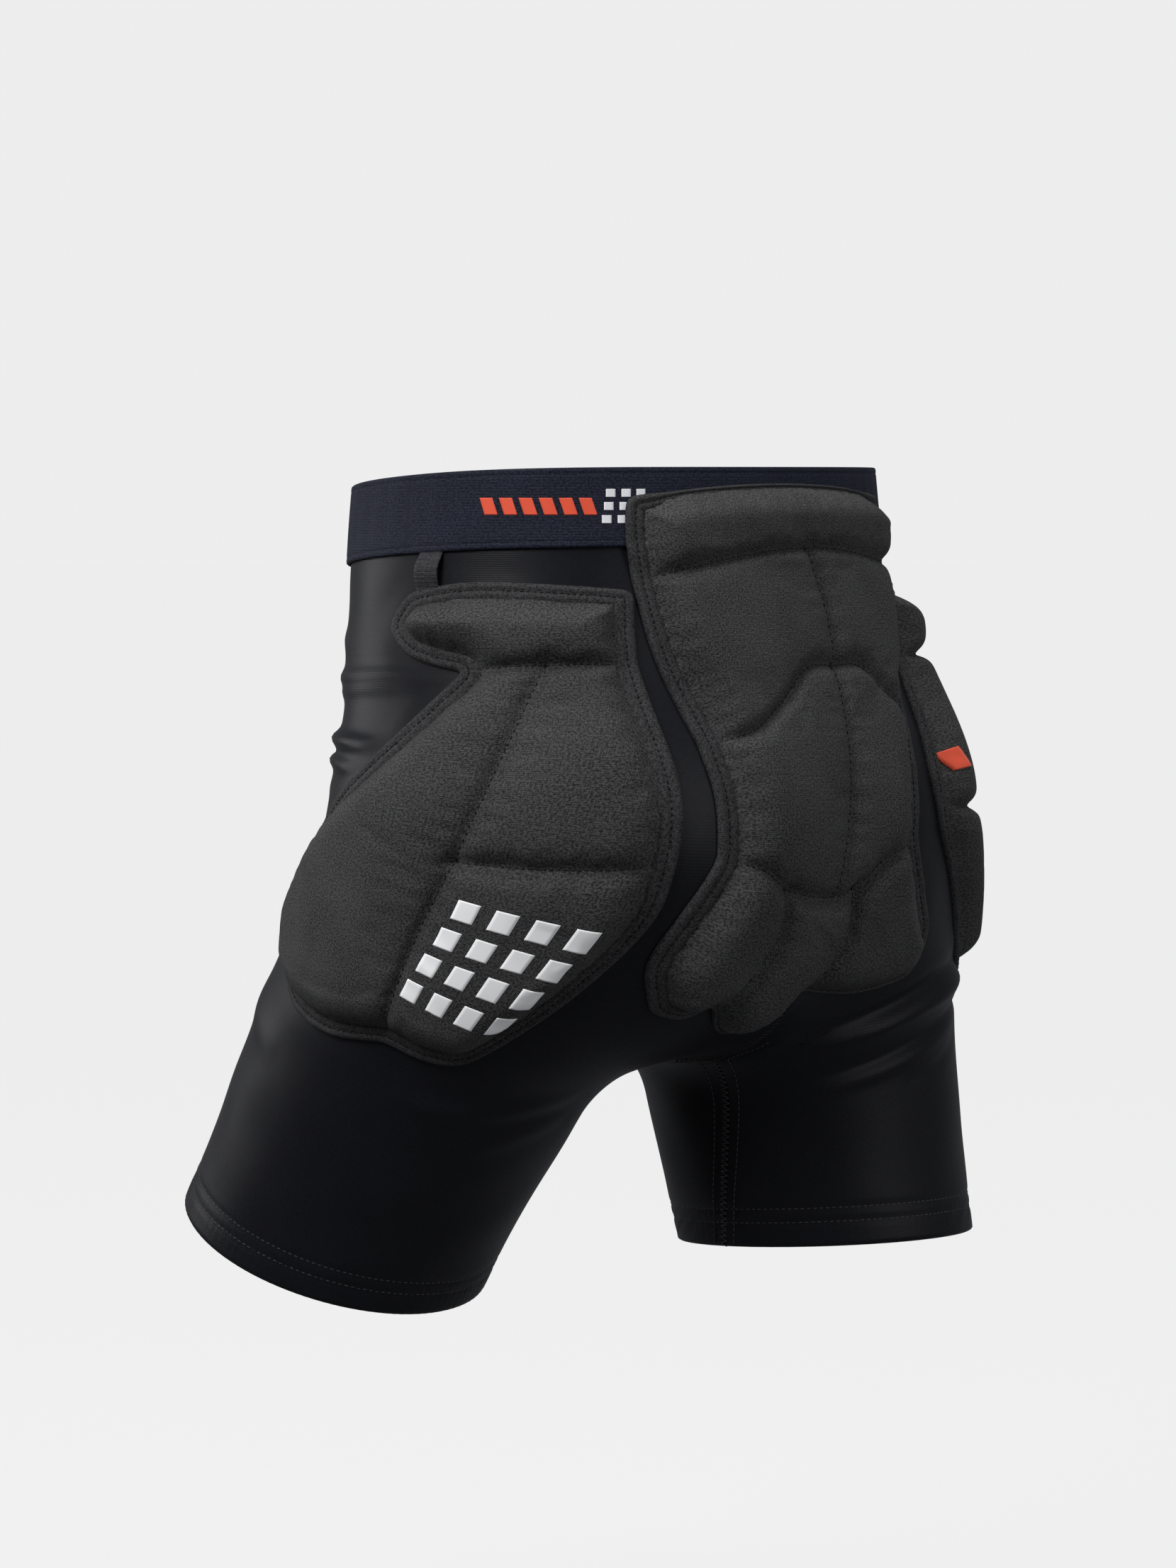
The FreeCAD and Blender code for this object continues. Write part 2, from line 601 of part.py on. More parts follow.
def seat_pad():
    outline = chain(SEAT_TOP, BAND_EDGE_L, UPPER_EDGE_L, MIDDLE_EDGE_L, LOBE_EDGE_L, (LOBE_HEM_L, -1),
                    (TAIL_HEM, -1), LOBE_HEM_R, (LOBE_EDGE_R, -1), (MIDDLE_EDGE_R, -1), (UPPER_EDGE_R, -1),
                    (BAND_EDGE_R, -1))
    blocks = {
        "top": (SEAT_TOP, BAND_SEAM, BAND_EDGE_R, BAND_EDGE_L, "TLR"),
        "upper_left": (BAND_SEAM[2:], WAVE_L, UPPER_SPINE, UPPER_EDGE_L, "R"),
        "upper_right": (BAND_SEAM[2::-1], WAVE_R, UPPER_SPINE, UPPER_EDGE_R, "R"),
        "middle_left": (WAVE_L, SCOOP_L, LOWER_SPINE, MIDDLE_EDGE_L, "R"),
        "middle_right": (WAVE_R, SCOOP_R, LOWER_SPINE, MIDDLE_EDGE_R, "R"),
        "lobe_left": (LOBE_TOP_L, LOBE_HEM_L, DIVIDER_L, LOBE_EDGE_L, "RB"),
        "lobe_right": (LOBE_TOP_R, LOBE_HEM_R, DIVIDER_R, LOBE_EDGE_R, "RB"),
        "tail": (TAIL_TOP, TAIL_HEM, DIVIDER_R, DIVIDER_L, "B"),
    }
    yield from pad_pieces("seat_pad", seat_point, blocks, outline)


def pad_pieces(name, place, edges, outline):
    blocks = {block: Block(place, *shape, outline) for block, shape in edges.items()}
    for block, shape in blocks.items():
        yield f"{name}_foam_{block}", shape.foam()
    yield name + "_cover", Part.makeCompound([shape.cover() for shape in blocks.values()])
    yield name + "_binding", binding(place, outline)


# ---------------------------------------------------------------- small pieces
def hanger_loop(side):
    """Webbing from the waistband's lower edge to the hip pad's top edge, bowed out."""
    angle = LOOP_AT / ROUND
    start = band_top(angle) + BAND_HEIGHT + LOOP_CLEAR
    end = smooth_path(STRIP_TOP)(0.1)[1] - 2 * LOOP_CLEAR

    def place(u, v, height):
        bow = FABRIC + LAYER_GAP * 2 + LOOP_BOW * sin(pi * v)
        return hip_point(side, LOOP_AT + (u - 0.5) * LOOP_WIDTH, start + v * (end - start), bow + height)
    return layer(place, 0.0, LOOP_THICK, rows=8, columns=3)


def print_marks(side):
    """A plain grid of squares printed on the rear lower block, each row set a little to the front."""
    marks = []
    for row in range(MARKS):
        for column in range(MARKS):
            s = MARK_START[0] + column * MARK_PITCH[0] - row * MARK_SHIFT
            t = MARK_START[1] + row * MARK_PITCH[1]

            def place(u, v, lift):
                return hip_point(side, s + u * MARK_SIZE, t + v * MARK_SIZE,
                                 PAD_LIFT + PAD_THICK + COVER + PRINT_CLEAR + lift)
            marks.append(layer(place, 0.0, PRINT_THICK, rows=2, columns=2))
    return Part.makeCompound(marks)


def side_label(side):
    """A small woven tab on the rear upper block."""
    width, length, thick = LABEL

    def place(u, v, lift):
        return hip_point(side, LABEL_AT[0] + u * width, LABEL_AT[1] + v * length,
                         PAD_LIFT + PAD_THICK + COVER + PRINT_CLEAR + lift)
    return layer(place, 0.0, thick, rows=3, columns=3)


def pieces():
    yield "waistband", waistband()
    for side in NAMES:
        yield from leg_pieces(side)
    for side in NAMES:
        yield from hip_pad(side)
        yield NAMES[side] + "_hanger_loop", hanger_loop(side)
    yield from seat_pad()
    yield "left_hip_print", print_marks(1)
    yield "right_hip_label", side_label(-1)


os.makedirs("parts", exist_ok=True)
for node, shape in pieces():
    print(f"{node:32s} {len(shape.Solids)} solid  {shape.Volume / 1000:8.2f} cm3  valid {shape.isValid()}")
    shape.exportStep(f"parts/{node}.step")
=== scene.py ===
"""The looks of the padded impact shorts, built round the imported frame.

The cloth lies on one body form: a smooth blend of a trunk, two buttocks and two thighs.  Points on it are
found from pattern coordinates in millimetres: s runs round the body, t runs down it, and h is the height
above the skin.  Everything becomes metres when it is made into a mesh.
"""
import math

import bpy
import numpy as np
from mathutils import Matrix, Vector
from mathutils.bvhtree import BVHTree
from mathutils.geometry import delaunay_2d_cdt


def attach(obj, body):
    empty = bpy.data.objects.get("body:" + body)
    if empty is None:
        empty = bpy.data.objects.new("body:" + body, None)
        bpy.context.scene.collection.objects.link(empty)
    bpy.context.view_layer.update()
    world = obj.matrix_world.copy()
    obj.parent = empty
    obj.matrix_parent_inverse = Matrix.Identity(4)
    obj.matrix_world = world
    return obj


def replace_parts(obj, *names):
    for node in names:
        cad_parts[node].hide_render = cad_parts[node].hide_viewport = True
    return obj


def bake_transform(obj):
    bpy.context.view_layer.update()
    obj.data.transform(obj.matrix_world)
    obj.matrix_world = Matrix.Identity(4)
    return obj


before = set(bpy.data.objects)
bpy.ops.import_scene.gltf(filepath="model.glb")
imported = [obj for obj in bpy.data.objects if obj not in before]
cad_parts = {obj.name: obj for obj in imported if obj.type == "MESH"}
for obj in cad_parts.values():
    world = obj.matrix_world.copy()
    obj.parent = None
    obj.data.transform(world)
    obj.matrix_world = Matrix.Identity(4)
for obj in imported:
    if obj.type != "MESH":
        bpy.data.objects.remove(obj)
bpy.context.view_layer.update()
MM = 0.001
SIDES = {1: "left", -1: "right"}

# ---------------------------------------------------------------- body form, as in the CAD source
WAIST_HALF, HIP_HALF = 144, 166
TRUNK = ((30, WAIST_HALF - 1, 106, 108), (0, WAIST_HALF, 107, 110), (-40, WAIST_HALF + 4, 108, 114),
         (-100, HIP_HALF - 9, 102, 128), (-165, HIP_HALF, 92, 142), (-220, HIP_HALF - 2, 88, 140),
         (-330, HIP_HALF - 16, 80, 110))
TRUNK_POWER, FORK, FORK_BLEND = 2.3, -302, 60
HIP = np.array((88.0, 15.0, -190.0))
THIGH = ((-150, 78, 84, 0), (0, 84, 90, 6), (60, 86, 91, 8), (130, 83.5, 84, 3), (222, 78, 78, 0),
         (400, 78, 78, 0))
THIGH_DOME, THIGH_SKEW = 95, 0.05
THIGH_SHIFT = {1: -4, -1: 3}
LEG_FLEX, LEG_SPREAD = {1: 27.0, -1: -9.0}, 5.0
BUTTOCK, BUTTOCK_RADII = np.array((68.0, 66.0, -185.0)), np.array((72.0, 74.0, 78.0))
BUTTOCK_BLEND, LEG_BLEND, LEGS_BLEND = 25, 30, 12
FABRIC, BAND_HEIGHT, BAND_THICK = 1.2, 40, 2.2
BAND_DROP, BAND_BACK, BAND_DEPTH = 16, 112, 224
LEG_LENGTH, LEG_DRAW = 229, {1: 11, -1: -11}
HEM_TILT = {1: (24.5, -2.0), -1: (-3.0, 0.0)}
PAD_LIFT = FABRIC + 0.5
ROUND, SPINE, SPINE_HIP = 115.0, (120.0, 300.0), 190.0
SEAT_ROUND, SEAT_CENTRE = 125.0, (10.0, 185.0)

# ---------------------------------------------------------------- pattern, as in the CAD source
STRIP_TOP = ((4, 64), (30, 59), (62, 60), (94, 63))
STRIP_FRONT = ((4, 64), (-4, 80), (5, 93), (20, 99))
STRIP_NOTCH = ((20, 99), (33, 102))
STRIP_SEAM = ((33, 102), (62, 100), (95, 99))
STRIP_REAR = ((94, 63), (94, 81), (95, 99))
FRONT_EDGE = ((33, 102), (8, 136), (-24, 180), (-50, 225), (-62, 256), (-52, 289))
SLANT_SEAM = ((62, 100), (54, 138), (48, 192), (46, 230), (51, 287))
FRONT_HEM = ((-52, 289), (-28, 300), (10, 300), (51, 287))
REAR_UPPER_EDGE = ((95, 99), (103, 129), (118, 163), (124, 182))
CROSS_SEAM = ((48, 192), (85, 188), (124, 182))
REAR_LOWER_EDGE = ((124, 182), (129, 203), (123, 236), (112, 265))
REAR_HEM = ((51, 287), (82, 286), (102, 280), (112, 265))
SEAT_TOP = ((-103, 16), (-60, 11), (0, 9), (60, 11), (103, 16))
BAND_SEAM = ((-99, 54), (-52, 46), (-9, 43), (50, 48), (99, 58))
BAND_EDGE_L, BAND_EDGE_R = ((103, 16), (103, 36), (99, 58)), ((-103, 16), (-103, 36), (-99, 54))
SEAT_SPINE = ((-9, 43), (-15, 75), (-15, 104), (-12, 150), (-2, 214))
UPPER_EDGE_L, UPPER_EDGE_R = ((99, 58), (89, 95), (71, 139)), ((-99, 54), (-88, 95), (-71, 134))
WAVE = ((-71, 134), (-52, 119), (-36, 104), (-15, 103), (6, 104), (28, 121), (50, 136), (71, 139))
MIDDLE_EDGE_L, MIDDLE_EDGE_R = ((71, 139), (65, 165), (64, 194)), ((-71, 134), (-64, 160), (-60, 190))
SCOOP = ((-60, 190), (-36, 197), (-18, 210), (-2, 214), (30, 209), (47, 199), (64, 194))
DIVIDER_L, DIVIDER_R = ((30, 209), (33, 235), (48, 266)), ((-18, 210), (-14, 232), (1, 259))
LOBE_EDGE_L = ((64, 194), (78, 225), (84, 252), (74, 275))
LOBE_EDGE_R = ((-60, 190), (-68, 215), (-74, 238), (-64, 256))
LOBE_HEM_L, LOBE_HEM_R = ((48, 266), (60, 276), (74, 275)), ((1, 259), (-35, 263), (-64, 256))
TAIL_HEM = ((1, 259), (16, 277), (36, 282), (48, 266))


# ---------------------------------------------------------------- body form
def smooth_min(a, b, k):
    h = np.clip(0.5 + 0.5 * (b - a) / k, 0, 1)
    return b * (1 - h) + a * h - k * h * (1 - h)


def smooth_step(x):
    x = np.clip(x, 0.0, 1.0)
    return x * x * (3 - 2 * x)


def stations(table):
    """The table's rows in rising order, with the slopes of the smooth curve through them."""
    rows = np.array(table, float)
    rows = rows[rows[:, 0].argsort()]
    slopes = np.zeros_like(rows[:, 1:])
    slopes[1:-1] = (rows[2:, 1:] - rows[:-2, 1:]) / (rows[2:, :1] - rows[:-2, :1])
    slopes[0] = (rows[1, 1:] - rows[0, 1:]) / (rows[1, 0] - rows[0, 0])
    slopes[-1] = (rows[-1, 1:] - rows[-2, 1:]) / (rows[-1, 0] - rows[-2, 0])
    return rows, slopes


def section(curve, at):
    rows, slopes = curve
    at = np.clip(np.asarray(at, float), rows[0, 0], rows[-1, 0])
    i = np.clip(np.searchsorted(rows[:, 0], at) - 1, 0, len(rows) - 2)
    span = (rows[i + 1, 0] - rows[i, 0])[..., None]
    u = (at - rows[i, 0])[..., None] / span
    return ((2 * u**3 - 3 * u**2 + 1) * rows[i, 1:] + (u**3 - 2 * u**2 + u) * span * slopes[i]
            + (-2 * u**3 + 3 * u**2) * rows[i + 1, 1:] + (u**3 - u**2) * span * slopes[i + 1])


TRUNK_CURVE, THIGH_CURVE = stations(TRUNK), stations(THIGH)


def leg_axes(side):
    """Unit vectors down the thigh, outward and to the back."""
    b, g = math.radians(LEG_FLEX[side]), math.radians(LEG_SPREAD)
    down = np.array((side * math.sin(g), -math.sin(b) * math.cos(g), -math.cos(b) * math.cos(g)))
    out = np.array((side * math.cos(g), math.sin(b) * math.sin(g), math.cos(b) * math.sin(g)))
    back = np.cross(down, out)
    return down, out, back * math.copysign(1, back[1])


LEG_AXES = {side: leg_axes(side) for side in SIDES}


def dome(q, length, core):
    return np.where(q < 0.05, core, length * (1 - 1 / np.maximum(q, 1e-6)))


def trunk_field(p):
    x, y, z = np.moveaxis(p, -1, 0)
    width, front, back = np.moveaxis(section(TRUNK_CURVE, z), -1, 0)
    depth = np.where(y < 0, front, back)
    q = ((np.abs(x) / width) ** TRUNK_POWER + (np.abs(y) / depth) ** TRUNK_POWER) ** (1 / TRUNK_POWER)
    return -smooth_min(-dome(q, np.hypot(x, y), -100.0), z - FORK, FORK_BLEND)


def thigh_field(p, side):
    down, out, back = LEG_AXES[side]
    d = p - HIP * (side, 1, 1)
    w = d @ down
    width, depth, shift = np.moveaxis(section(THIGH_CURVE, w), -1, 0)
    u, v, w = d @ out, d @ back - shift - THIGH_SHIFT[side], np.minimum(w, 0)
    skew = 2 * THIGH_SKEW * u * v / (width * depth)
    q = np.sqrt((u / width) ** 2 + (v / depth) ** 2 + skew + (w / THIGH_DOME) ** 2)
    return dome(q, np.sqrt(u * u + v * v + w * w), -80.0)


def buttock_field(p, side):
    d = p - BUTTOCK * (side, 1, 1)
    return dome(np.sqrt(((d / BUTTOCK_RADII) ** 2).sum(-1)), np.linalg.norm(d, axis=-1), -70.0)


def body_field(p):
    """Negative inside the body, about the distance outside it."""
    d = trunk_field(p)
    for side in SIDES:
        d = smooth_min(d, buttock_field(p, side), BUTTOCK_BLEND)
    legs = smooth_min(thigh_field(p, 1), thigh_field(p, -1), LEGS_BLEND)
    return smooth_min(d, legs, LEG_BLEND)


def skin(start, direction):
    """The first point where each ray from inside the body leaves it."""
    start, direction = np.broadcast_arrays(start, direction)
    distance = np.zeros(start.shape[:-1])
    for _ in range(34):
        distance = distance - 0.85 * body_field(start + direction * distance[..., None])
    return start + direction * distance[..., None]


def normals(p):
    """The skin's outward normals at the skin points."""
    e = 0.5
    g = np.stack([body_field(p + np.eye(3)[i] * e) - body_field(p - np.eye(3)[i] * e) for i in range(3)], -1)
    return g / np.linalg.norm(g, axis=-1, keepdims=True)


# ---------------------------------------------------------------- pattern coordinates
def unit(v):
    return v / np.linalg.norm(v, axis=-1, keepdims=True)


def hip_frame(side, t):
    """The spine's points at pattern lengths t, with unit vectors outward and to the back."""
    t = np.asarray(t, float)
    start, end = SPINE
    down, span = LEG_AXES[side][0], end - start
    high, low = np.array((0, 0, -start)), HIP * (side, 1, 1) + down * (end - SPINE_HIP)
    u = np.clip((t - start) / span, 0, 1)[..., None]
    centre = ((2 * u**3 - 3 * u**2 + 1) * high + (u**3 - 2 * u**2 + u) * span * np.array((0, 0, -1.0))
              + (-2 * u**3 + 3 * u**2) * low + (u**3 - u**2) * span * down)
    centre = centre + np.minimum(t - start, 0)[..., None] * np.array((0, 0, -1.0))
    centre = centre + np.maximum(t - end, 0)[..., None] * down
    w = smooth_step((t - start) / span)[..., None]
    normal = unit((1 - w) * np.array((0, 0, -1.0)) + w * down)
    out = unit(np.array((side, 0, 0)) - side * normal[..., :1] * normal)
    back = np.cross(normal, out)
    return centre, out, back * np.sign(back[..., 1:2])


def hip_skin(side, angle, t):
    centre, out, back = hip_frame(side, t)
    angle = np.asarray(angle)[..., None]
    return skin(centre, np.cos(angle) * out + np.sin(angle) * back)


def hip_place(side):
    """A function giving skin points and normals from pattern coordinates on one hip."""
    def place(s, t):
        p = hip_skin(side, np.asarray(s, float) / ROUND, t)
        return p, normals(p)
    return place


def seat_place(s, t):
    """Skin points and normals from pattern coordinates on the seat.

    Over the waistband they are lifted clear of it.
    """
    s, t = np.asarray(s, float), np.asarray(t, float)
    depth, level = SEAT_CENTRE
    tilt, angle = np.maximum(0, t - level) / SEAT_ROUND, s / SEAT_ROUND
    direction = np.stack([np.sin(angle), np.cos(angle) * np.cos(tilt), -np.cos(angle) * np.sin(tilt)], -1)
    start = np.stack([0 * t, 0 * t + depth, -np.minimum(t, level)], -1)
    p = skin(start, direction)
    n = normals(p)
    over_band = (BAND_THICK + 0.2) * (1 - smooth_step((t - BAND_HEIGHT - 2) / 14))
    return p + n * over_band[..., None], n


# ---------------------------------------------------------------- lines in the pattern
def smooth_line(points, step=2.0):
    """Points about a step apart along the smooth curve through the given ones."""
    points = np.array(points, float)
    lengths = np.concatenate([[0], np.cumsum(np.linalg.norm(np.diff(points, axis=0), axis=1))])
    curve = stations(np.column_stack([lengths, points]))
    count = max(2, round(lengths[-1] / step))
    return section(curve, np.linspace(0, lengths[-1], count + 1))


def joined(*edges):
    """One line along the edges in turn; each edge after the first may run either way."""
    line = smooth_line(edges[0])
    for edge in edges[1:]:
        more = smooth_line(edge)
        if np.linalg.norm(more[0] - line[-1]) > np.linalg.norm(more[-1] - line[-1]):
            more = more[::-1]
        line = np.vstack([line, more[1:]])
    return line


def respaced(line, step, closed=False):
    """The line with its points evenly spaced, about a step apart."""
    if closed:
        line = np.vstack([line, line[:1]])
    lengths = np.concatenate([[0], np.cumsum(np.linalg.norm(np.diff(line, axis=0), axis=1))])
    count = max(2, round(lengths[-1] / step))
    at = np.linspace(0, lengths[-1], count + 1)
    line = np.stack([np.interp(at, lengths, line[:, k]) for k in range(line.shape[1])], -1)
    return line[:-1] if closed else line


def softened(loop, rounds):
    for _ in range(rounds):
        loop = (np.roll(loop, 1, 0) + 2 * loop + np.roll(loop, -1, 0)) / 4
    return loop


def inward(loop):
    """Unit vectors to the inside of a closed loop, in its plane."""
    x, y = loop.T
    turn = math.copysign(1, (x * np.roll(y, -1) - np.roll(x, -1) * y).sum())
    along = np.roll(loop, -1, 0) - np.roll(loop, 1, 0)
    return unit(softened(unit(np.stack([-turn * along[:, 1], turn * along[:, 0]], -1)), 2))


def nearest(points, line):
    """Distance from each point to the line, and how far along it the nearest place is."""
    a, ab = line[:-1], np.diff(line, axis=0)
    lengths = np.linalg.norm(ab, axis=1)
    starts = np.concatenate([[0], np.cumsum(lengths)])
    gaps, places = [], []
    for part in np.array_split(points, max(1, len(points) * len(a) // 2000000)):
        u = np.clip(((part[:, None] - a) * ab).sum(-1) / lengths**2, 0, 1)
        gap = np.linalg.norm(part[:, None] - a - u[..., None] * ab, axis=-1)
        k, rows = gap.argmin(1), np.arange(len(part))
        gaps.append(gap[rows, k])
        places.append(starts[k] + u[rows, k] * lengths[k])
    return np.concatenate(gaps), np.concatenate(places)


def inside(points, loop):
    """True for each point inside the closed loop."""
    found = np.zeros(len(points), bool)
    for (ax, ay), (bx, by) in zip(loop, np.roll(loop, -1, 0)):
        crosses = (ay > points[:, 1]) != (by > points[:, 1])
        if by != ay:
            found ^= crosses & (points[:, 0] < ax + (points[:, 1] - ay) / (by - ay) * (bx - ax))
    return found


# ---------------------------------------------------------------- meshes
def mesh(name, points, faces, material, pattern=None):
    """A smooth mesh from points in millimetres, with its pattern coordinates kept for the weave."""
    data = bpy.data.meshes.new(name)
    data.from_pydata((np.asarray(points) * MM).tolist(), [], [list(map(int, f)) for f in faces])
    data.shade_smooth()
    obj = bpy.data.objects.new(name, data)
    bpy.context.scene.collection.objects.link(obj)
    if pattern is not None:
        attribute = data.attributes.new("pattern", "FLOAT_VECTOR", "POINT")
        attribute.data.foreach_set("vector", (np.asarray(pattern) * MM).astype(np.float32).ravel())
    data.materials.append(material)
    return obj


def grid_faces(rows, columns, close_rows=False, close_columns=False, first=0):
    faces = []
    for i in range(rows if close_rows else rows - 1):
        for j in range(columns if close_columns else columns - 1):
            a, b = i * columns, (i + 1) % rows * columns
            k = (j + 1) % columns
            faces.append((first + a + j, first + a + k, first + b + k, first + b + j))
    return faces


# A stitch from end to end: share of its length, thickness and rise
STITCH_RINGS = ((0.0, 0.25, -0.9), (0.1, 0.8, -0.1), (0.3, 1.0, 0.45), (0.7, 1.0, 0.45), (0.9, 0.8, -0.1),
                (1.0, 0.25, -0.9))


def stitches(name, starts, ends, up, slot, material, radius=0.3):
    """Short threads lying on the cloth from starts to ends, each dipping into it at both ends."""
    along = unit(ends - starts)
    side = unit(np.cross(along, up))
    turns = np.arange(6) * math.pi / 3
    rings = []
    for u, thick, rise in STITCH_RINGS:
        centre = starts + (ends - starts) * u + up * radius * rise
        rings.append(centre[:, None] + radius * thick * (side[:, None] * np.cos(turns)[None, :, None]
                                                         + up[:, None] * np.sin(turns)[None, :, None]))
    points = np.stack(rings, 1).reshape(-1, 3)
    one = grid_faces(len(STITCH_RINGS), 6, close_columns=True)
    one += [tuple(range(5, -1, -1)), tuple(6 * (len(STITCH_RINGS) - 1) + k for k in range(6))]
    faces = [tuple(k + i * 6 * len(STITCH_RINGS) for k in f) for i in range(len(starts)) for f in one]
    return mesh(name, points, faces, material)


def row_of_stitches(points, normal, length=2.6, gap=0.9, closed=False):
    """Start, end and normal of each stitch in a row along the points in space."""
    loop = np.hstack([points, normal])
    if closed:
        loop = np.vstack([loop, loop[:1]])
    lengths = np.concatenate([[0], np.cumsum(np.linalg.norm(np.diff(loop[:, :3], axis=0), axis=1))])
    count = max(1, round(lengths[-1] / (length + gap)))
    starts = np.arange(count) * lengths[-1] / count
    ends = starts + lengths[-1] / count * length / (length + gap)
    pick = lambda at: np.stack([np.interp(at, lengths, loop[:, k]) for k in range(6)], -1)
    a, b, middle = pick(starts), pick(ends), pick((starts + ends) / 2)
    return a[:, :3], b[:, :3], unit(middle[:, 3:])


def stitch_rows(name, rows, slot, material, radius=0.3):
    """Several rows made into one object; each row is the result of row_of_stitches."""
    return stitches(name, *(np.vstack([row[k] for row in rows]) for k in range(3)), slot, material, radius)


def crosswise(points, normal, half, pitch, slant=0.35):
    """Threads laid across a seam, as a flatlock stitch covers it."""
    line = respaced(np.hstack([points, normal]), pitch)
    p, n = line[:, :3], unit(line[:, 3:])
    along = unit(np.gradient(p, axis=0))
    side = unit(np.cross(along, n))
    lean = np.where(np.arange(len(p)) % 2, slant, -slant)[:, None] * along
    return p - half * (side + lean), p + half * (side + lean), n


# ---------------------------------------------------------------- materials
def plain(name, colour, rough, sheen=0.0, specular=0.5):
    material = bpy.data.materials.new(name)
    material.use_nodes = True
    shader = material.node_tree.nodes["Principled BSDF"]
    shader.inputs["Base Color"].default_value = (*colour, 1)
    shader.inputs["Roughness"].default_value = rough
    shader.inputs["Sheen Weight"].default_value = sheen
    shader.inputs["Sheen Roughness"].default_value = 0.4
    shader.inputs["Specular IOR Level"].default_value = specular
    return material


def cloth(name, dark, light, rough, sheen, specular, speck=1.2, contrast=0.5, ribs=(1.6, 1.6), relief=0.12):
    """Cloth whose flecks and ribs follow the pattern; speck and ribs are counts per millimetre."""
    material = plain(name, dark, rough, sheen, specular)
    nodes, links = material.node_tree.nodes, material.node_tree.links
    shader = nodes["Principled BSDF"]
    pattern = nodes.new("ShaderNodeAttribute")
    pattern.attribute_name = "pattern"
    place = nodes.new("ShaderNodeVectorMath")
    place.operation = "SCALE"
    place.inputs["Scale"].default_value = 1 / MM
    links.new(pattern.outputs["Vector"], place.inputs[0])
    flecks = nodes.new("ShaderNodeTexNoise")
    flecks.inputs["Scale"].default_value = speck
    flecks.inputs["Detail"].default_value = 3.0
    flecks.inputs["Roughness"].default_value = 0.75
    broad = nodes.new("ShaderNodeTexNoise")
    broad.inputs["Scale"].default_value = 0.035
    broad.inputs["Detail"].default_value = 2.0
    for texture in (flecks, broad):
        links.new(place.outputs[0], texture.inputs["Vector"])
    spread = nodes.new("ShaderNodeMapRange")
    spread.inputs["From Min"].default_value = 0.5 - 0.25 * contrast
    spread.inputs["From Max"].default_value = 0.5 + 0.25 * contrast
    links.new(flecks.outputs["Fac"], spread.inputs["Value"])
    share = nodes.new("ShaderNodeMath")
    share.operation = "MULTIPLY_ADD"
    share.inputs[1].default_value = 0.75
    links.new(spread.outputs["Result"], share.inputs[0])
    wear = nodes.new("ShaderNodeMath")
    wear.operation = "MULTIPLY"
    wear.inputs[1].default_value = 0.4
    links.new(broad.outputs["Fac"], wear.inputs[0])
    links.new(wear.outputs[0], share.inputs[2])
    mix = nodes.new("ShaderNodeMix")
    mix.data_type = "RGBA"
    mix.inputs["A"].default_value = (*dark, 1)
    mix.inputs["B"].default_value = (*light, 1)
    links.new(share.outputs[0], mix.inputs["Factor"])
    links.new(mix.outputs["Result"], shader.inputs["Base Color"])
    height = None
    for axis, count in zip("XY", ribs):
        wave = nodes.new("ShaderNodeTexWave")
        wave.bands_direction = axis
        wave.inputs["Scale"].default_value = count * math.pi / 10
        wave.inputs["Distortion"].default_value = 0.6
        wave.inputs["Detail Scale"].default_value = 0.4
        links.new(place.outputs[0], wave.inputs["Vector"])
        if height is None:
            height = wave.outputs["Fac"]
        else:
            both = nodes.new("ShaderNodeMath")
            both.operation = "MULTIPLY"
            links.new(height, both.inputs[0])
            links.new(wave.outputs["Fac"], both.inputs[1])
            height = both.outputs[0]
    rough_part = nodes.new("ShaderNodeMath")
    rough_part.operation = "MULTIPLY_ADD"
    rough_part.inputs[1].default_value = 0.5
    links.new(flecks.outputs["Fac"], rough_part.inputs[0])
    links.new(height, rough_part.inputs[2])
    bump = nodes.new("ShaderNodeBump")
    bump.inputs["Strength"].default_value = 0.6
    bump.inputs["Distance"].default_value = relief * MM
    links.new(rough_part.outputs[0], bump.inputs["Height"])
    links.new(bump.outputs["Normal"], shader.inputs["Normal"])
    return material


STRETCH = cloth("stretch_fabric", (0.0035, 0.0036, 0.0048), (0.0080, 0.0084, 0.0112), 0.38, 0.01, 0.10,
                speck=0.5, contrast=1.0, ribs=(1.8, 0.9), relief=0.06)
FACE = cloth("pad_face", (0.0015, 0.0015, 0.0017), (0.058, 0.058, 0.059), 0.62, 0.01, 0.10,
             speck=1.1, contrast=0.34, ribs=(1.2, 1.2), relief=0.25)
TAPE = cloth("binding_tape", (0.0015, 0.0015, 0.0020), (0.042, 0.042, 0.044), 0.6, 0.01, 0.12,
             speck=1.1, contrast=0.35, ribs=(1.0, 2.2), relief=0.2)
ELASTIC = cloth("waist_elastic", (0.0018, 0.0022, 0.0050), (0.018, 0.021, 0.036), 0.65, 0.01, 0.08,
                speck=0.9, contrast=0.38, ribs=(1.1, 0.7), relief=0.25)
WEB = cloth("webbing", (0.0030, 0.0030, 0.0040), (0.040, 0.040, 0.044), 0.6, 0.01, 0.12,
            speck=0.8, contrast=0.6, ribs=(0.5, 1.0), relief=0.35)
THREAD = plain("thread", (0.004, 0.004, 0.005), 0.45, 0.0, 0.2)
HEM_THREAD = plain("hem_thread", (0.028, 0.028, 0.030), 0.5, 0.0, 0.3)
INK = plain("print_ink", (0.78, 0.78, 0.79), 0.5, 0.0, 0.3)
WOVEN_RED = plain("woven_red", (0.62, 0.075, 0.035), 0.6, 0.1, 0.2)
WOVEN_WHITE = plain("woven_white", (0.62, 0.63, 0.65), 0.6, 0.1, 0.2)


def bend(obj):
    """Bakes the piece's transform into its mesh; its shape is left as it is."""
    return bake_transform(obj)


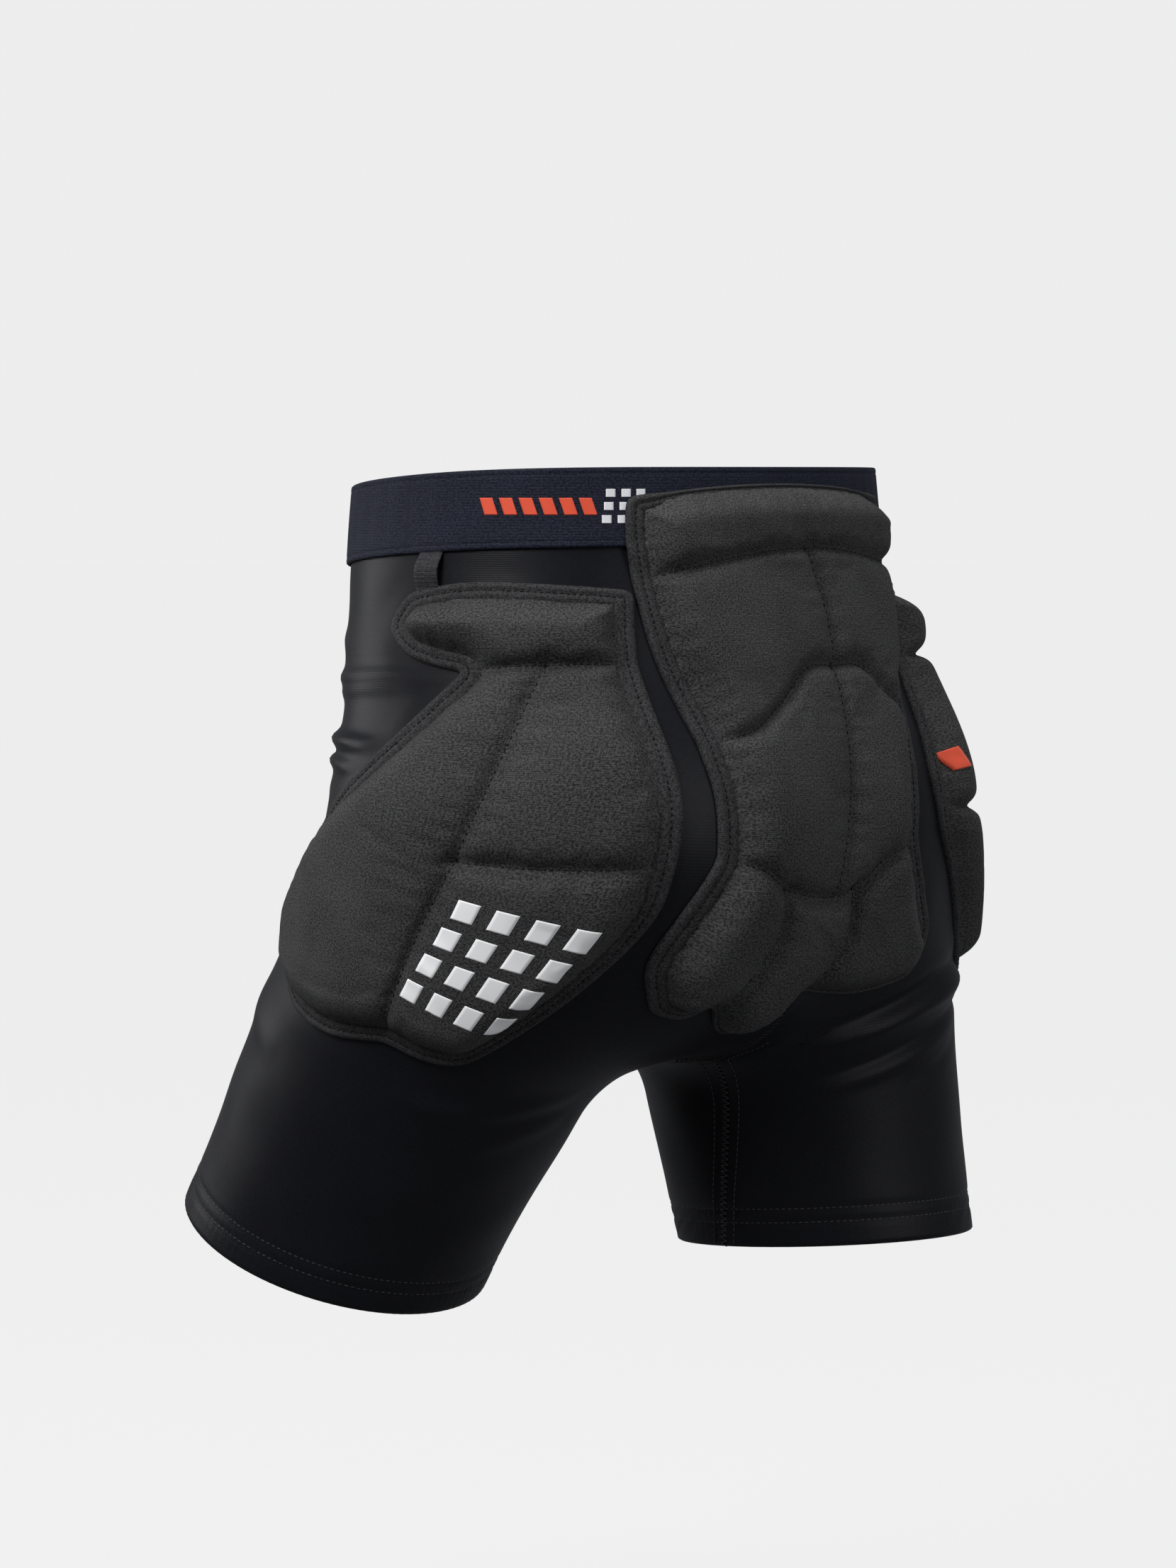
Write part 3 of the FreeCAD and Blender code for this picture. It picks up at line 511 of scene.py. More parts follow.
# ---------------------------------------------------------------- shorts: one cut sheet for each side
FORK_ROWS, FORK_EASE, PROBE = 24, 130.0, 0.03


def middle_angles(side, t):
    """Angles where the row at t meets the middle plane, front and back; None below the crotch."""
    found = []
    for turn in (-1, 1):
        if t <= SPINE[0]:
            found.append(turn * math.pi / 2)
            continue
        probe = turn * np.arange(math.pi / 2, 1.28 * math.pi, PROBE)
        beyond = side * hip_skin(side, probe, t)[:, 0] <= 0
        if not beyond.any():
            return None
        k = beyond.argmax()
        if k == 0:
            found.append(turn * math.pi / 2)
            continue
        low, high = probe[k - 1], probe[k]
        for _ in range(9):
            middle = (low + high) / 2
            if side * hip_skin(side, middle, t)[0] > 0:
                low = middle
            else:
                high = middle
        found.append(low)
    return found


def row_limits(side):
    """The crotch's pattern length, and a function giving each row's first and last angle."""
    low, high = SPINE[0], SPINE[1] + 60
    while high - low > 0.1:
        middle = (low + high) / 2
        low, high = (middle, high) if middle_angles(side, middle) else (low, middle)
    start, fork = SPINE[0], low
    rows = np.array([middle_angles(side, fork - (fork - start) * (1 - k / FORK_ROWS) ** 2)
                     for k in range(FORK_ROWS + 1)])
    lean = rows[-1].mean()

    def limits(t):
        t = np.asarray(t, float)
        k = FORK_ROWS * (1 - np.sqrt(np.clip((fork - np.maximum(t, start)) / (fork - start), 0, 1)))
        centre = lean * (1 - smooth_step((t - fork) / FORK_EASE))
        first = np.where(t >= fork, centre - math.pi, np.interp(k, np.arange(FORK_ROWS + 1), rows[:, 0]))
        last = np.where(t >= fork, centre + math.pi, np.interp(k, np.arange(FORK_ROWS + 1), rows[:, 1]))
        return first, last
    return fork, limits


def row_angle(limits, u, t):
    first, last = limits(t)
    slit = 0.2 / 84
    return first + slit + u * (last - first - 2 * slit)


def hem_length(side, limits, u):
    """Pattern length of the leg opening on each column u."""
    forward, outward = (math.radians(a) for a in HEM_TILT[side])
    down = np.array((side * math.sin(outward), -math.sin(forward) * math.cos(outward),
                     -math.cos(forward) * math.cos(outward)))
    centre = HIP * (side, 1, 1) + LEG_AXES[side][0] * (LEG_LENGTH + LEG_DRAW[side])
    low, high = np.full(u.shape, SPINE[0]), np.full(u.shape, SPINE[1] + 260)
    for _ in range(14):
        middle = (low + high) / 2
        past = (hip_skin(side, row_angle(limits, u, middle), middle) - centre) @ down > 0
        low, high = np.where(past, low, middle), np.where(past, middle, high)
    return low


def band_top(angle):
    """Pattern length of the waistband's top edge."""
    y = hip_skin(1, angle, 0.0)[..., 1]
    return BAND_DROP * ((BAND_BACK - y) / BAND_DEPTH) ** 2


def seat_pattern(p):
    """Seat pattern coordinates of skin points."""
    d = p - np.array((0, SEAT_CENTRE[0], 0))
    low = np.maximum(0, -d[..., 2] - SEAT_CENTRE[1])
    reach = np.stack([d[..., 0], d[..., 1], -low], -1)
    tilt = np.arctan2(low, np.maximum(d[..., 1], 1e-3))
    s = np.arctan2(reach[..., 0], np.hypot(np.maximum(d[..., 1], 1e-3), low)) * SEAT_ROUND
    return s, np.minimum(-d[..., 2], SEAT_CENTRE[1]) + tilt * SEAT_ROUND


def bump_along(points, line, width, height):
    """A rounded ridge along a pattern line, fading towards both ends; a negative height makes a groove."""
    line = smooth_line(line, 6.0)
    gap, at = nearest(points, line)
    share = at / np.linalg.norm(np.diff(line, axis=0), axis=1).sum()
    return height * np.exp(-(gap / width) ** 2) * np.clip(np.sin(math.pi * share), 0, 1) ** 0.7


# Folds where the cloth bunches: side, pattern line, half width, height
FOLDS = (
    (1, ((-156, 86), (-110, 84), (-75, 86), (-36, 90)), 5.5, 2.2),
    (1, ((-156, 110), (-110, 111), (-75, 110), (-24, 106), (28, 104)), 4.2, 2.6),
    (1, ((-120, 120), (-75, 118), (-24, 113), (18, 110)), 3.6, 1.5),
    (1, ((-166, 148), (-116, 143), (-75, 141), (-40, 140), (4, 142)), 4.6, 5.0),
    (1, ((-150, 153), (-110, 150), (-75, 148.5), (-36, 147)), 3.4, -2.0),
    (1, ((-160, 162), (-116, 158), (-75, 155), (-46, 153), (-8, 156)), 4.2, 4.2),
    (1, ((-150, 176), (-110, 173), (-75, 171), (-40, 171)), 6.0, 1.8),
    (1, ((-160, 205), (-126, 210), (-92, 214)), 9.0, 1.8),
    (1, ((-120, 312), (-80, 326), (-30, 330)), 9.0, 1.4),
    (1, ((196, 286), (150, 302), (104, 312), (64, 312)), 6.5, 2.0),
    (1, ((206, 300), (160, 318), (116, 334)), 8.0, 1.6),
    (-1, ((280, 298), (236, 296), (196, 290), (150, 281), (104, 274)), 3.6, -2.4),
    (-1, ((282, 309), (226, 304), (172, 295), (116, 286), (64, 284)), 6.2, 4.6),
    (-1, ((276, 324), (220, 319), (170, 310), (120, 300), (80, 296)), 3.2, -1.8),
    (-1, ((262, 330), (214, 325), (168, 317), (124, 308)), 3.6, 1.3),
    (-1, ((200, 334), (160, 328), (122, 318)), 3.2, -1.0),
    (-1, ((128, 262), (108, 268), (84, 282)), 5.0, 1.8),
    (-1, ((-156, 112), (-100, 113), (-44, 106)), 5.0, 1.6),
    (-1, ((-160, 150), (-110, 146), (-60, 144), (-10, 146)), 6.0, 2.4),
    (-1, ((-156, 170), (-110, 166), (-66, 163)), 6.0, 1.8),
    (-1, ((-100, 310), (-50, 322), (0, 318)), 10.0, 1.2),
)


def ripple(p):
    """A shallow, uneven waviness of loose cloth, in millimetres."""
    x, y, z = np.moveaxis(p, -1, 0)
    return (0.40 * np.sin(x / 13 + 2.1 * np.sin(z / 31)) * np.sin(z / 17 + y / 23)
            + 0.25 * np.sin(y / 9 + 1.7 * np.sin(x / 27)) * np.sin(z / 11 + 0.8))


PANEL_COLUMNS, PANEL_ROWS = 220, 190
# The turned-up cloth: its rows above the edge, and the turn itself (past the edge, height)
HEM_ROWS = (18.0, 14.0, 10.0, 7.0, 4.0, 2.0, 0.8)
HEM_TURN = ((0.45, 0.1), (0.6, -0.35), (0.45, -0.75))
HEM_STITCHES = (11.5, 18.5)
SHEETS = {}


def leg_sheet(side):
    """One side of the shorts, cut in one piece and sewn down the middle and the inseam, its hem turned up."""
    fork, limits = row_limits(side)
    u = np.linspace(0, 1, PANEL_COLUMNS + 1)
    first, last = limits(0 * u)
    angle = first + u * (last - first)
    top = band_top(angle if side > 0 else math.pi - angle) + BAND_HEIGHT - 8
    edge = hem_length(side, limits, u)
    even = np.linspace(0, 1, PANEL_ROWS + 1)[:, None]
    down = smooth_step(even) * 0.15 + even * 0.85
    t = top + (edge - top) * down
    height = np.full(t.shape, FABRIC / 2)
    inner = [edge + a for a, _ in HEM_TURN] + [edge - a for a in reversed(HEM_ROWS)]
    t = np.vstack([t] + [row[None] for row in inner])
    height = np.vstack([height] + [0 * edge[None] + h for _, h in HEM_TURN]
                       + [0 * edge[None] - 0.95 for _ in HEM_ROWS])
    angle = row_angle(limits, u, t)
    p, n = hip_place(side)(angle * ROUND, t)
    flat = np.stack([angle * ROUND, t], -1).reshape(-1, 2)
    lift = sum(bump_along(flat, line, width, tall) for who, line, width, tall in FOLDS if who == side)
    lift = lift + ripple(p.reshape(-1, 3))
    under_pad = 1 - smooth_step(nearest(flat, HIP_OUTLINE)[0] / 12)
    lift = lift * np.where(inside(flat, HIP_OUTLINE), 0, 1 - under_pad)
    seat = np.stack(seat_pattern(p), -1).reshape(-1, 2)
    under_seat = np.where(inside(seat, SEAT_OUTLINE), 0, smooth_step(nearest(seat, SEAT_OUTLINE)[0] / 12))
    lift = lift * np.where(p.reshape(-1, 3)[:, 1] > 0, under_seat, 1)
    from_band = smooth_step((t - top - 10) / 18)
    from_hem = smooth_step((edge - t - 1) / 26)
    from_seam = smooth_step(np.minimum(u, 1 - u) * 500 / 10)
    lift = lift.reshape(t.shape) * from_band * from_hem * from_seam
    rows_of_hem = sum(np.exp(-((edge - t - up) / 1.6) ** 2) for up in HEM_STITCHES)
    pucker = 0.25 * np.sin(angle * ROUND * 2 * math.pi / 7.5) * np.exp(-((edge - t - 9) / 9) ** 2)
    lift = lift - (0.45 * rows_of_hem - pucker) * (height > 0)
    p = p + n * (height + lift)[..., None]
    SHEETS[side] = {"points": p[:PANEL_ROWS + 1], "normals": n[:PANEL_ROWS + 1], "t": t[:PANEL_ROWS + 1],
                    "fork": fork, "edge": edge, "limits": limits, "u": u}
    flow = np.concatenate([flat.reshape(t.shape + (2,)), 0 * t[..., None]], -1)
    name = SIDES[side]
    faces = grid_faces(len(t), len(u))
    flow = flow.reshape(-1, 3)
    obj = mesh(name + "_shorts_sheet", p.reshape(-1, 3), faces, STRETCH, flow)
    thick = obj.modifiers.new("thickness", "SOLIDIFY")
    thick.thickness = FABRIC * MM
    thick.offset = 0.0
    thick.use_rim = True
    return obj


def seam_threads(side):
    """Flatlock stitching over the middle seams and the inseam, and the two rows round each hem."""
    sheet = SHEETS[side]
    name = SIDES[side]
    points, normal, t = sheet["points"], sheet["normals"], sheet["t"]
    lift = FABRIC / 2 + 0.1
    below = t[:, 0] >= sheet["fork"] - 1
    edge = points[:, 0] + normal[:, 0] * lift
    rows = [crosswise(edge[below], normal[below, 0], 2.2, 1.5)]
    for offset in (3, len(sheet["u"]) - 4):
        line = points[below, offset] + normal[below, offset] * lift
        rows.append(row_of_stitches(line, normal[below, offset], 2.4, 0.7))
    loop = points[:, :-1] + normal[:, :-1] * (FABRIC / 2 - 0.2)
    for up in HEM_STITCHES:
        level = sheet["edge"][:-1] - up
        k = np.clip((t[:, :-1] < level).sum(0) - 1, 0, len(t) - 2)
        columns = np.arange(len(level))
        share = ((level - t[k, columns]) / (t[k + 1, columns] - t[k, columns]))[:, None]
        ring = loop[k, columns] * (1 - share) + loop[k + 1, columns] * share
        rows.append(row_of_stitches(ring, normal[k, columns], 2.5, 0.8, closed=True))
    threads = bend(stitch_rows(name + "_leg_stitches", rows, "binding_tape", HEM_THREAD, 0.32))
    if side == 1:
        rows = []
        for column, near in ((0, 3), (-1, len(sheet["u"]) - 4)):
            above = t[:, column] <= sheet["fork"]
            line = points[above, column] + normal[above, column] * lift
            rows.append(crosswise(line, normal[above, column], 2.2, 1.5))
        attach(stitch_rows("middle_seam_stitches", rows, "binding_tape", THREAD, 0.28), "hips")
    return threads


def waistband():
    """A ring of woven elastic with a thin plain edge above and below."""
    columns = 320
    angle = np.linspace(0, 2 * math.pi, columns, endpoint=False)
    base = FABRIC + 0.2
    profile = [(0.0, 0.5), (0.0, 1.5), (0.5, 2.05), (1.4, 2.2), (2.6, 2.15), (3.1, 1.9), (3.6, 2.15)]
    profile += [(v, 2.2) for v in np.arange(5, BAND_HEIGHT - 4, 1.5)]
    profile += [(BAND_HEIGHT - a, h) for a, h in reversed(profile[:7])]
    inner = [(v, 0.0) for v in np.arange(BAND_HEIGHT - 5, 2, -5)]
    profile += [(BAND_HEIGHT - 0.5, 0.0)] + inner + [(0.5, 0.0)]
    profile = np.array(profile)
    top = band_top(angle)
    t = top[:, None] + profile[None, :, 0]
    s = np.repeat(angle[:, None], len(profile), 1)
    p = hip_skin(1, s, t)
    n = normals(p)
    wave = 0.18 * np.sin(angle * 64)[:, None] * np.sin(math.pi * profile[None, :, 0] / BAND_HEIGHT)
    p = p + n * (base + profile[None, :, 1] + wave * (profile[None, :, 1] > 0.4))[..., None]
    flow = np.stack([s * ROUND, t, 0 * t], -1)
    faces = grid_faces(columns, len(profile), close_rows=True, close_columns=True)
    return mesh("waistband_elastic", p.reshape(-1, 3), faces, ELASTIC, flow.reshape(-1, 3))


# ---------------------------------------------------------------- pads
# The tape's width, then the face's height at its crown and rim and the distance in which it rises
BINDING_WIDTH, CROWN, RIM_HEIGHT, RISE = 9.2, 16.0, 1.5, 15.0
PAD_MESH = 2.4
PUFF_FRAMES, PUFF_MOST = 16, 0.5
OUTLINE_STEP = 2.4


def outline_of(*edges):
    """The closed outline that the edges make, as evenly spaced points with its corners eased."""
    return softened(respaced(joined(*edges), OUTLINE_STEP, True), 3)


HIP_OUTLINE = outline_of(STRIP_REAR, REAR_UPPER_EDGE, REAR_LOWER_EDGE, REAR_HEM, FRONT_HEM, FRONT_EDGE,
                         STRIP_NOTCH, STRIP_FRONT, STRIP_TOP)
SEAT_OUTLINE = outline_of(SEAT_TOP, BAND_EDGE_L, UPPER_EDGE_L, MIDDLE_EDGE_L, LOBE_EDGE_L, LOBE_HEM_L,
                          TAIL_HEM, LOBE_HEM_R, LOBE_EDGE_R, MIDDLE_EDGE_R, UPPER_EDGE_R, BAND_EDGE_R)
HIP_SEAMS = (STRIP_SEAM, SLANT_SEAM, CROSS_SEAM)
SEAT_SEAMS = (BAND_SEAM, SEAT_SPINE, WAVE, SCOOP, DIVIDER_L, DIVIDER_R)


def looped(outline):
    return np.vstack([outline, outline[:1]])


def shoulder(x):
    return np.sqrt(1 - (1 - np.clip(x, 0, 1)) ** 2)


def filled(outline, seams, spacing):
    """Triangles filling the outline, with edges along the seams: pattern points and faces."""
    low, high = outline.min(0), outline.max(0)
    xs = np.arange(low[0], high[0], spacing)
    ys = np.arange(low[1], high[1], spacing * 0.866)
    grid = np.array([(x + (k % 2) * spacing / 2, y) for k, y in enumerate(ys) for x in xs])
    grid = grid[inside(grid, outline)]
    lines = [looped(outline)] + seams
    clear = np.min([nearest(grid, line)[0] for line in lines], axis=0) > 0.62 * spacing
    points, edges = [tuple(p) for p in outline], [(k, (k + 1) % len(outline)) for k in range(len(outline))]
    for line in seams:
        line = line[inside(line, outline) & (nearest(line, lines[0])[0] > 0.8)]
        edges += [(len(points) + k, len(points) + k + 1) for k in range(len(line) - 1)]
        points += [tuple(p) for p in line]
    points += [tuple(p) for p in grid[clear]]
    out, _, faces, *_ = delaunay_2d_cdt([Vector(p) for p in points], edges, [], 0, 1e-3)
    out, faces = np.array([tuple(p) for p in out]), np.array([list(f) for f in faces])
    keep = inside(out[faces].mean(1), outline)
    return out, faces[keep]


def settle(obj, held, rest, most):
    """Lets the cloth puff up and crease between its held points; no point moves further than most."""
    group = obj.vertex_groups.new(name="held")
    group.add([int(k) for k in np.flatnonzero(held)], 1.0, "REPLACE")
    modifier = obj.modifiers.new("puff", "CLOTH")
    settings = modifier.settings
    settings.quality = 4
    settings.mass = 0.25
    settings.tension_stiffness = settings.compression_stiffness = 12
    settings.shear_stiffness = 4
    settings.bending_stiffness = 0.3
    settings.vertex_group_mass = "held"
    settings.use_pressure = True
    settings.uniform_pressure_force = 4.0
    settings.shrink_min = -0.02
    settings.effector_weights.gravity = 0.0
    modifier.collision_settings.use_collision = False
    modifier.point_cache.frame_start, modifier.point_cache.frame_end = 1, PUFF_FRAMES
    scene = bpy.context.scene
    for at in range(1, PUFF_FRAMES + 1):
        scene.frame_set(at)
    graph = bpy.context.evaluated_depsgraph_get()
    moved = np.empty(len(rest) * 3, np.float32)
    obj.evaluated_get(graph).data.vertices.foreach_get("co", moved)
    obj.modifiers.remove(modifier)
    obj.vertex_groups.remove(group)
    scene.frame_set(1)
    step = moved.reshape(-1, 3) / MM - rest
    length = np.linalg.norm(step, axis=1, keepdims=True)
    step = step * np.minimum(1, most * np.tanh(length / most) / np.maximum(length, 1e-9))
    obj.data.vertices.foreach_set("co", ((rest + step) * MM).astype(np.float32).ravel())
    obj.data.update()
    return rest + step


def pad(name, place, outline, seams, depths, slim):
    """The pad's face: puffed between its stitched channels, its rim held down under the binding."""
    seams = [smooth_line(line) for line in seams]
    width = tape_width(outline, slim)
    rim = outline + inward(outline) * 3.0 * width
    flat, faces = filled(rim, seams, PAD_MESH)
    d_rim, along_rim = nearest(flat, looped(outline))
    lengths = OUTLINE_STEP * np.arange(len(outline) + 1)
    taped = BINDING_WIDTH * np.interp(along_rim, lengths, np.append(width, width[0]))
    x = np.clip((d_rim - taped + 1.4) / RISE, 0, 1)
    rise = 0.6 * shoulder(x) + 0.4 * (1 - (1 - x) ** 2)
    gaps = [nearest(flat, line) for line in seams]
    d_seam = np.min([gap for gap, _ in gaps], axis=0)
    along = np.choose(np.argmin([gap for gap, _ in gaps], axis=0), [at for _, at in gaps])
    for (gap, _), depth in zip(gaps, depths):
        rise = rise * (1 - depth * np.exp(-(gap / 3.4) ** 1.25) - 0.10 * np.exp(-gap / 11))
    rise = rise * (0.94 + 0.06 * shoulder(np.minimum(d_rim - taped, d_seam) / 42))
    seam_wave = np.sin(along / 1.45 + 2.3 * np.sin(along / 13))
    rim_wave = np.sin(along_rim / 1.6 + 2.6 * np.sin(along_rim / 17))
    gathers = 0.28 * np.exp(-d_seam / 5) * np.clip(d_seam / 2, 0, 1) * seam_wave
    gathers += 0.22 * np.exp(-np.abs(d_rim - taped - 3) / 4) * rim_wave
    p, n = place(flat[:, 0], flat[:, 1])
    height = PAD_LIFT + RIM_HEIGHT + (CROWN - RIM_HEIGHT) * rise + gathers * np.clip(rise * 3, 0, 1)
    rest = p + n * height[:, None]
    flow = np.column_stack([flat, 0 * height])
    turned = np.cross(rest[faces[:, 1]] - rest[faces[:, 0]], rest[faces[:, 2]] - rest[faces[:, 0]])
    if (turned * n[faces[:, 0]]).sum() < 0:
        faces = faces[:, ::-1]
    obj = mesh(name + "_face", rest, faces, FACE, flow)
    held = (d_seam < 0.9) | (d_rim < taped - 1.0)
    settle(obj, held, rest, PUFF_MOST)
    smooth = obj.modifiers.new("smooth", "SUBSURF")
    smooth.levels = smooth.render_levels = 1
    return obj


# Offset in from the outline and height: two ridges, with a groove at each row of stitches
BINDING_PROFILE = ((-0.9, -1.4), (-1.3, 0.0), (-1.1, 1.2), (-0.3, 2.3), (0.9, 2.9), (2.2, 2.6), (3.1, 2.1),
                   (4.0, 2.7), (5.4, 3.1), (6.8, 2.8), (7.7, 2.3), (8.5, 2.7), (9.2, 2.2), (9.4, 1.2),
                   (9.2, 0.2))
BINDING_ROWS = (3.1, 7.7)


def tape_width(outline, slim):
    """The share of its width that the tape shows at each point: less where the foam rolls over it."""
    share = np.where(slim(outline), 0.42, 1.0)
    return softened(share, 14)[:, None]


def bound_edge(name, place, outline, slim):
    """The tape folded over the pad's edge, slightly gathered by its two rows of stitches."""
    across = inward(outline) * tape_width(outline, slim)
    lengths = np.arange(len(outline)) * OUTLINE_STEP
    profile = np.array(BINDING_PROFILE)
    flat = outline[:, None] + across[:, None] * profile[None, :, :1]
    p, n = place(flat[..., 0], flat[..., 1])
    gather = 0.22 * np.sin(lengths * 2 * math.pi / 6.2 + np.sin(lengths / 17))[:, None] * np.sin(
        np.clip(profile[:, 0] / 9, 0, 1) * 2 * math.pi)[None] + 0.12 * np.sin(lengths / 3.1)[:, None]
    p = p + n * (PAD_LIFT + profile[None, :, 1] + gather * (profile[None, :, 1] > 1.5))[..., None]
    flow = np.concatenate([np.broadcast_to(lengths[:, None, None], flat.shape[:2] + (1,)),
                           np.broadcast_to(profile[None], flat.shape)], -1)
    faces = grid_faces(len(outline), len(profile), close_rows=True)
    tape = mesh(name + "_tape", p.reshape(-1, 3), faces, TAPE, flow.reshape(-1, 3))
    rows = []
    for offset in BINDING_ROWS:
        line = outline + across * offset
        q, m = place(line[:, 0], line[:, 1])
        rows.append(row_of_stitches(q + m * (PAD_LIFT + 2.35), m, 2.3, 1.0, closed=True))
    return tape, rows


def seam_rows(place, outline, seams, top, dotted=()):
    """Stitches along the pad's channels, laid on its face."""
    rows = []
    for k, seam in enumerate(seams):
        line = smooth_line(seam, 1.5)
        from_rim = nearest(line, looped(outline))[0]
        line = line[inside(line, outline) & (from_rim > BINDING_WIDTH)]
        q, m = on_surface(top, *place(line[:, 0], line[:, 1]))
        length, gap = (1.9, 1.9) if k in dotted else (2.5, 1.0)
        rows.append(row_of_stitches(q + m * 0.12, m, length, gap))
    return rows


# ---------------------------------------------------------------- small pieces
def surface_of(obj):
    """The piece as it is shown, ready for finding points on it."""
    shown = obj.evaluated_get(bpy.context.evaluated_depsgraph_get())
    data = shown.to_mesh()
    points = [v.co.copy() for v in data.vertices]
    tree = BVHTree.FromPolygons(points, [tuple(f.vertices) for f in data.polygons])
    shown.to_mesh_clear()
    return tree


def on_surface(tree, p, n):
    """Where lines going inward along n meet the piece, in millimetres, with its normals there."""
    points, facing = [], []
    for a, d in zip(p.reshape(-1, 3), n.reshape(-1, 3)):
        hit, normal, *_ = tree.ray_cast(Vector((a + d * 45) * MM), Vector(-d))
        points.append(np.array(hit) / MM if hit else a)
        facing.append(np.array(normal) * math.copysign(1, normal.dot(Vector(d))) if hit else d)
    return np.array(points).reshape(p.shape), np.array(facing).reshape(p.shape)


def slabs(name, corners, place, tree, lift, thick, material):
    """Thin four-sided marks laid on a surface; corners are given in the pattern, going round each mark."""
    points, faces, flows = [], [], []
    across = np.linspace(0, 1, 7)
    for a, b, c, d in corners:
        a, b, c, d = (np.array(q, float) for q in (a, b, c, d))
        u, v = (g[..., None] for g in np.meshgrid(across, np.linspace(0, 1, 15), indexing="ij"))
        flat = (1 - v) * ((1 - u) * a + u * b) + v * ((1 - u) * d + u * c)
        p, n = place(flat[..., 0], flat[..., 1])
        p, n = on_surface(tree, p, n)
        layers = [(p + n * h).reshape(-1, 3) for h in (lift - thick, lift)]
        size = len(layers[0])
        start = len(points) * size
        for k, flip in ((0, True), (1, False)):
            more = grid_faces(7, 15, first=start + k * size)
            faces += [f[::-1] for f in more] if flip else more
        rim = [j for j in range(15)] + [i * 15 + 14 for i in range(1, 7)]
        rim += [6 * 15 + j for j in range(13, -1, -1)] + [i * 15 for i in range(5, 0, -1)]
        for i, j in zip(rim, rim[1:] + rim[:1]):
            faces.append((start + i, start + j, start + size + j, start + size + i))
        points += layers
        flows += [np.column_stack([flat.reshape(-1, 2), np.full(size, h)]) for h in (0, thick)]
    return mesh(name, np.vstack(points), faces, material, np.vstack(flows))


def hanger_loop(side):
    """Ribbed webbing bowing out from the band's lower edge and going in behind the pad's top edge."""
    at, width = 12.0, 11.0
    start = band_top(np.array(at / ROUND)) + BAND_HEIGHT - 2.5
    end = smooth_line(STRIP_TOP)[4, 1] + 3.5
    v = np.linspace(0, 1, 46)[:, None]
    u = np.array((0.0, 0.02, 0.12, 0.3, 0.5, 0.7, 0.88, 0.98, 1.0))[None]
    half = np.array((0.3, 0.6, 0.8, 0.8, 0.8, 0.8, 0.8, 0.6, 0.3))[None]
    s = at + (u - 0.5) * width + 0 * v
    t = start + v * (end - start) + 0 * u
    p, n = hip_place(side)(s, t)
    rib = 0.16 * np.sin(v * (end - start) * 2 * math.pi / 1.9)
    bow = FABRIC + 0.9 + 3.6 * np.sin(math.pi * np.clip((v - 0.08) / 0.8, 0, 1)) ** 1.3
    outer, inner = (p + n * (bow + sign * (half + rib))[..., None] for sign in (1, -1))
    points = np.concatenate([outer, inner[:, ::-1]], 1)
    flat = np.stack([s, t, 0 * t], -1)
    flow = np.concatenate([flat, flat[:, ::-1]], 1)
    faces = grid_faces(46, 18, close_columns=True)
    faces += [tuple(range(17, -1, -1)), tuple(range(45 * 18, 46 * 18))]
    name = SIDES[side] + "_webbing_loop"
    return mesh(name, points.reshape(-1, 3), faces, WEB, flow.reshape(-1, 3))


def box_at(s, t, width, length, slant=0.0):
    return ((s, t), (s + width, t), (s + width - slant, t + length), (s - slant, t + length))


# ---------------------------------------------------------------- the whole garment
def nowhere(outline):
    return np.zeros(len(outline), bool)


def seat_slim(outline):
    """Along the seat pad's top edge and under its lobes."""
    s, t = outline.T
    return ((t < 18) & (np.abs(s) < 88)) | ((t > 250) & (s < 62))


def crotch_point():
    """The lowest point of the middle seam."""
    fork, _ = row_limits(1)
    limits = middle_angles(1, fork - 0.2)
    p = np.array([hip_skin(1, a, fork - 0.2) for a in limits]).mean(0)
    return np.array((0.0, p[1], p[2]))


crotch_point()
for side, name in SIDES.items():
    cloth_piece = leg_sheet(side)
    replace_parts(cloth_piece, name + "_panel", name + "_leg_sleeve", name + "_hem")
    SHEETS[side]["piece"] = cloth_piece
    bend(cloth_piece)
    SHEETS[side]["stitches"] = seam_threads(side)
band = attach(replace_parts(waistband(), "waistband"), "hips")

HIP_BLOCKS = ("strip", "front", "rear_upper", "rear_lower")
for side, name in SIDES.items():
    place = hip_place(side)
    label = name + "_hip_pad"
    face = pad(label, place, HIP_OUTLINE, HIP_SEAMS, (0.55, 0.30, 0.42), nowhere)
    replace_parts(face, label + "_cover", *(f"{label}_foam_{b}" for b in HIP_BLOCKS))
    top = surface_of(face)
    if side == 1:
        squares = [box_at(57 + 15 * i - 1.5 * k, 206 + 14 * k, 9, 9) for i in range(4) for k in range(4)]
        marks = slabs("left_hip_pad_print", squares, place, top, 0.22, 0.5, INK)
        bend(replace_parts(marks, "left_hip_print"))
    else:
        corners = [box_at(98, 152, 9, 12)]
        tab = slabs("right_hip_pad_tab", corners, place, top, 0.75, 0.9, WOVEN_RED)
        bend(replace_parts(tab, "right_hip_label"))
    bend(face)
    tape, rows = bound_edge(label, place, HIP_OUTLINE, nowhere)
    bend(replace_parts(tape, label + "_binding"))
    rows += seam_rows(place, HIP_OUTLINE, HIP_SEAMS, top, dotted=(1,))
    bend(stitch_rows(label + "_stitches", rows, "binding_tape", THREAD))
    loop = hanger_loop(side)
    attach(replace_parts(loop, name + "_hanger_loop"), "hips")

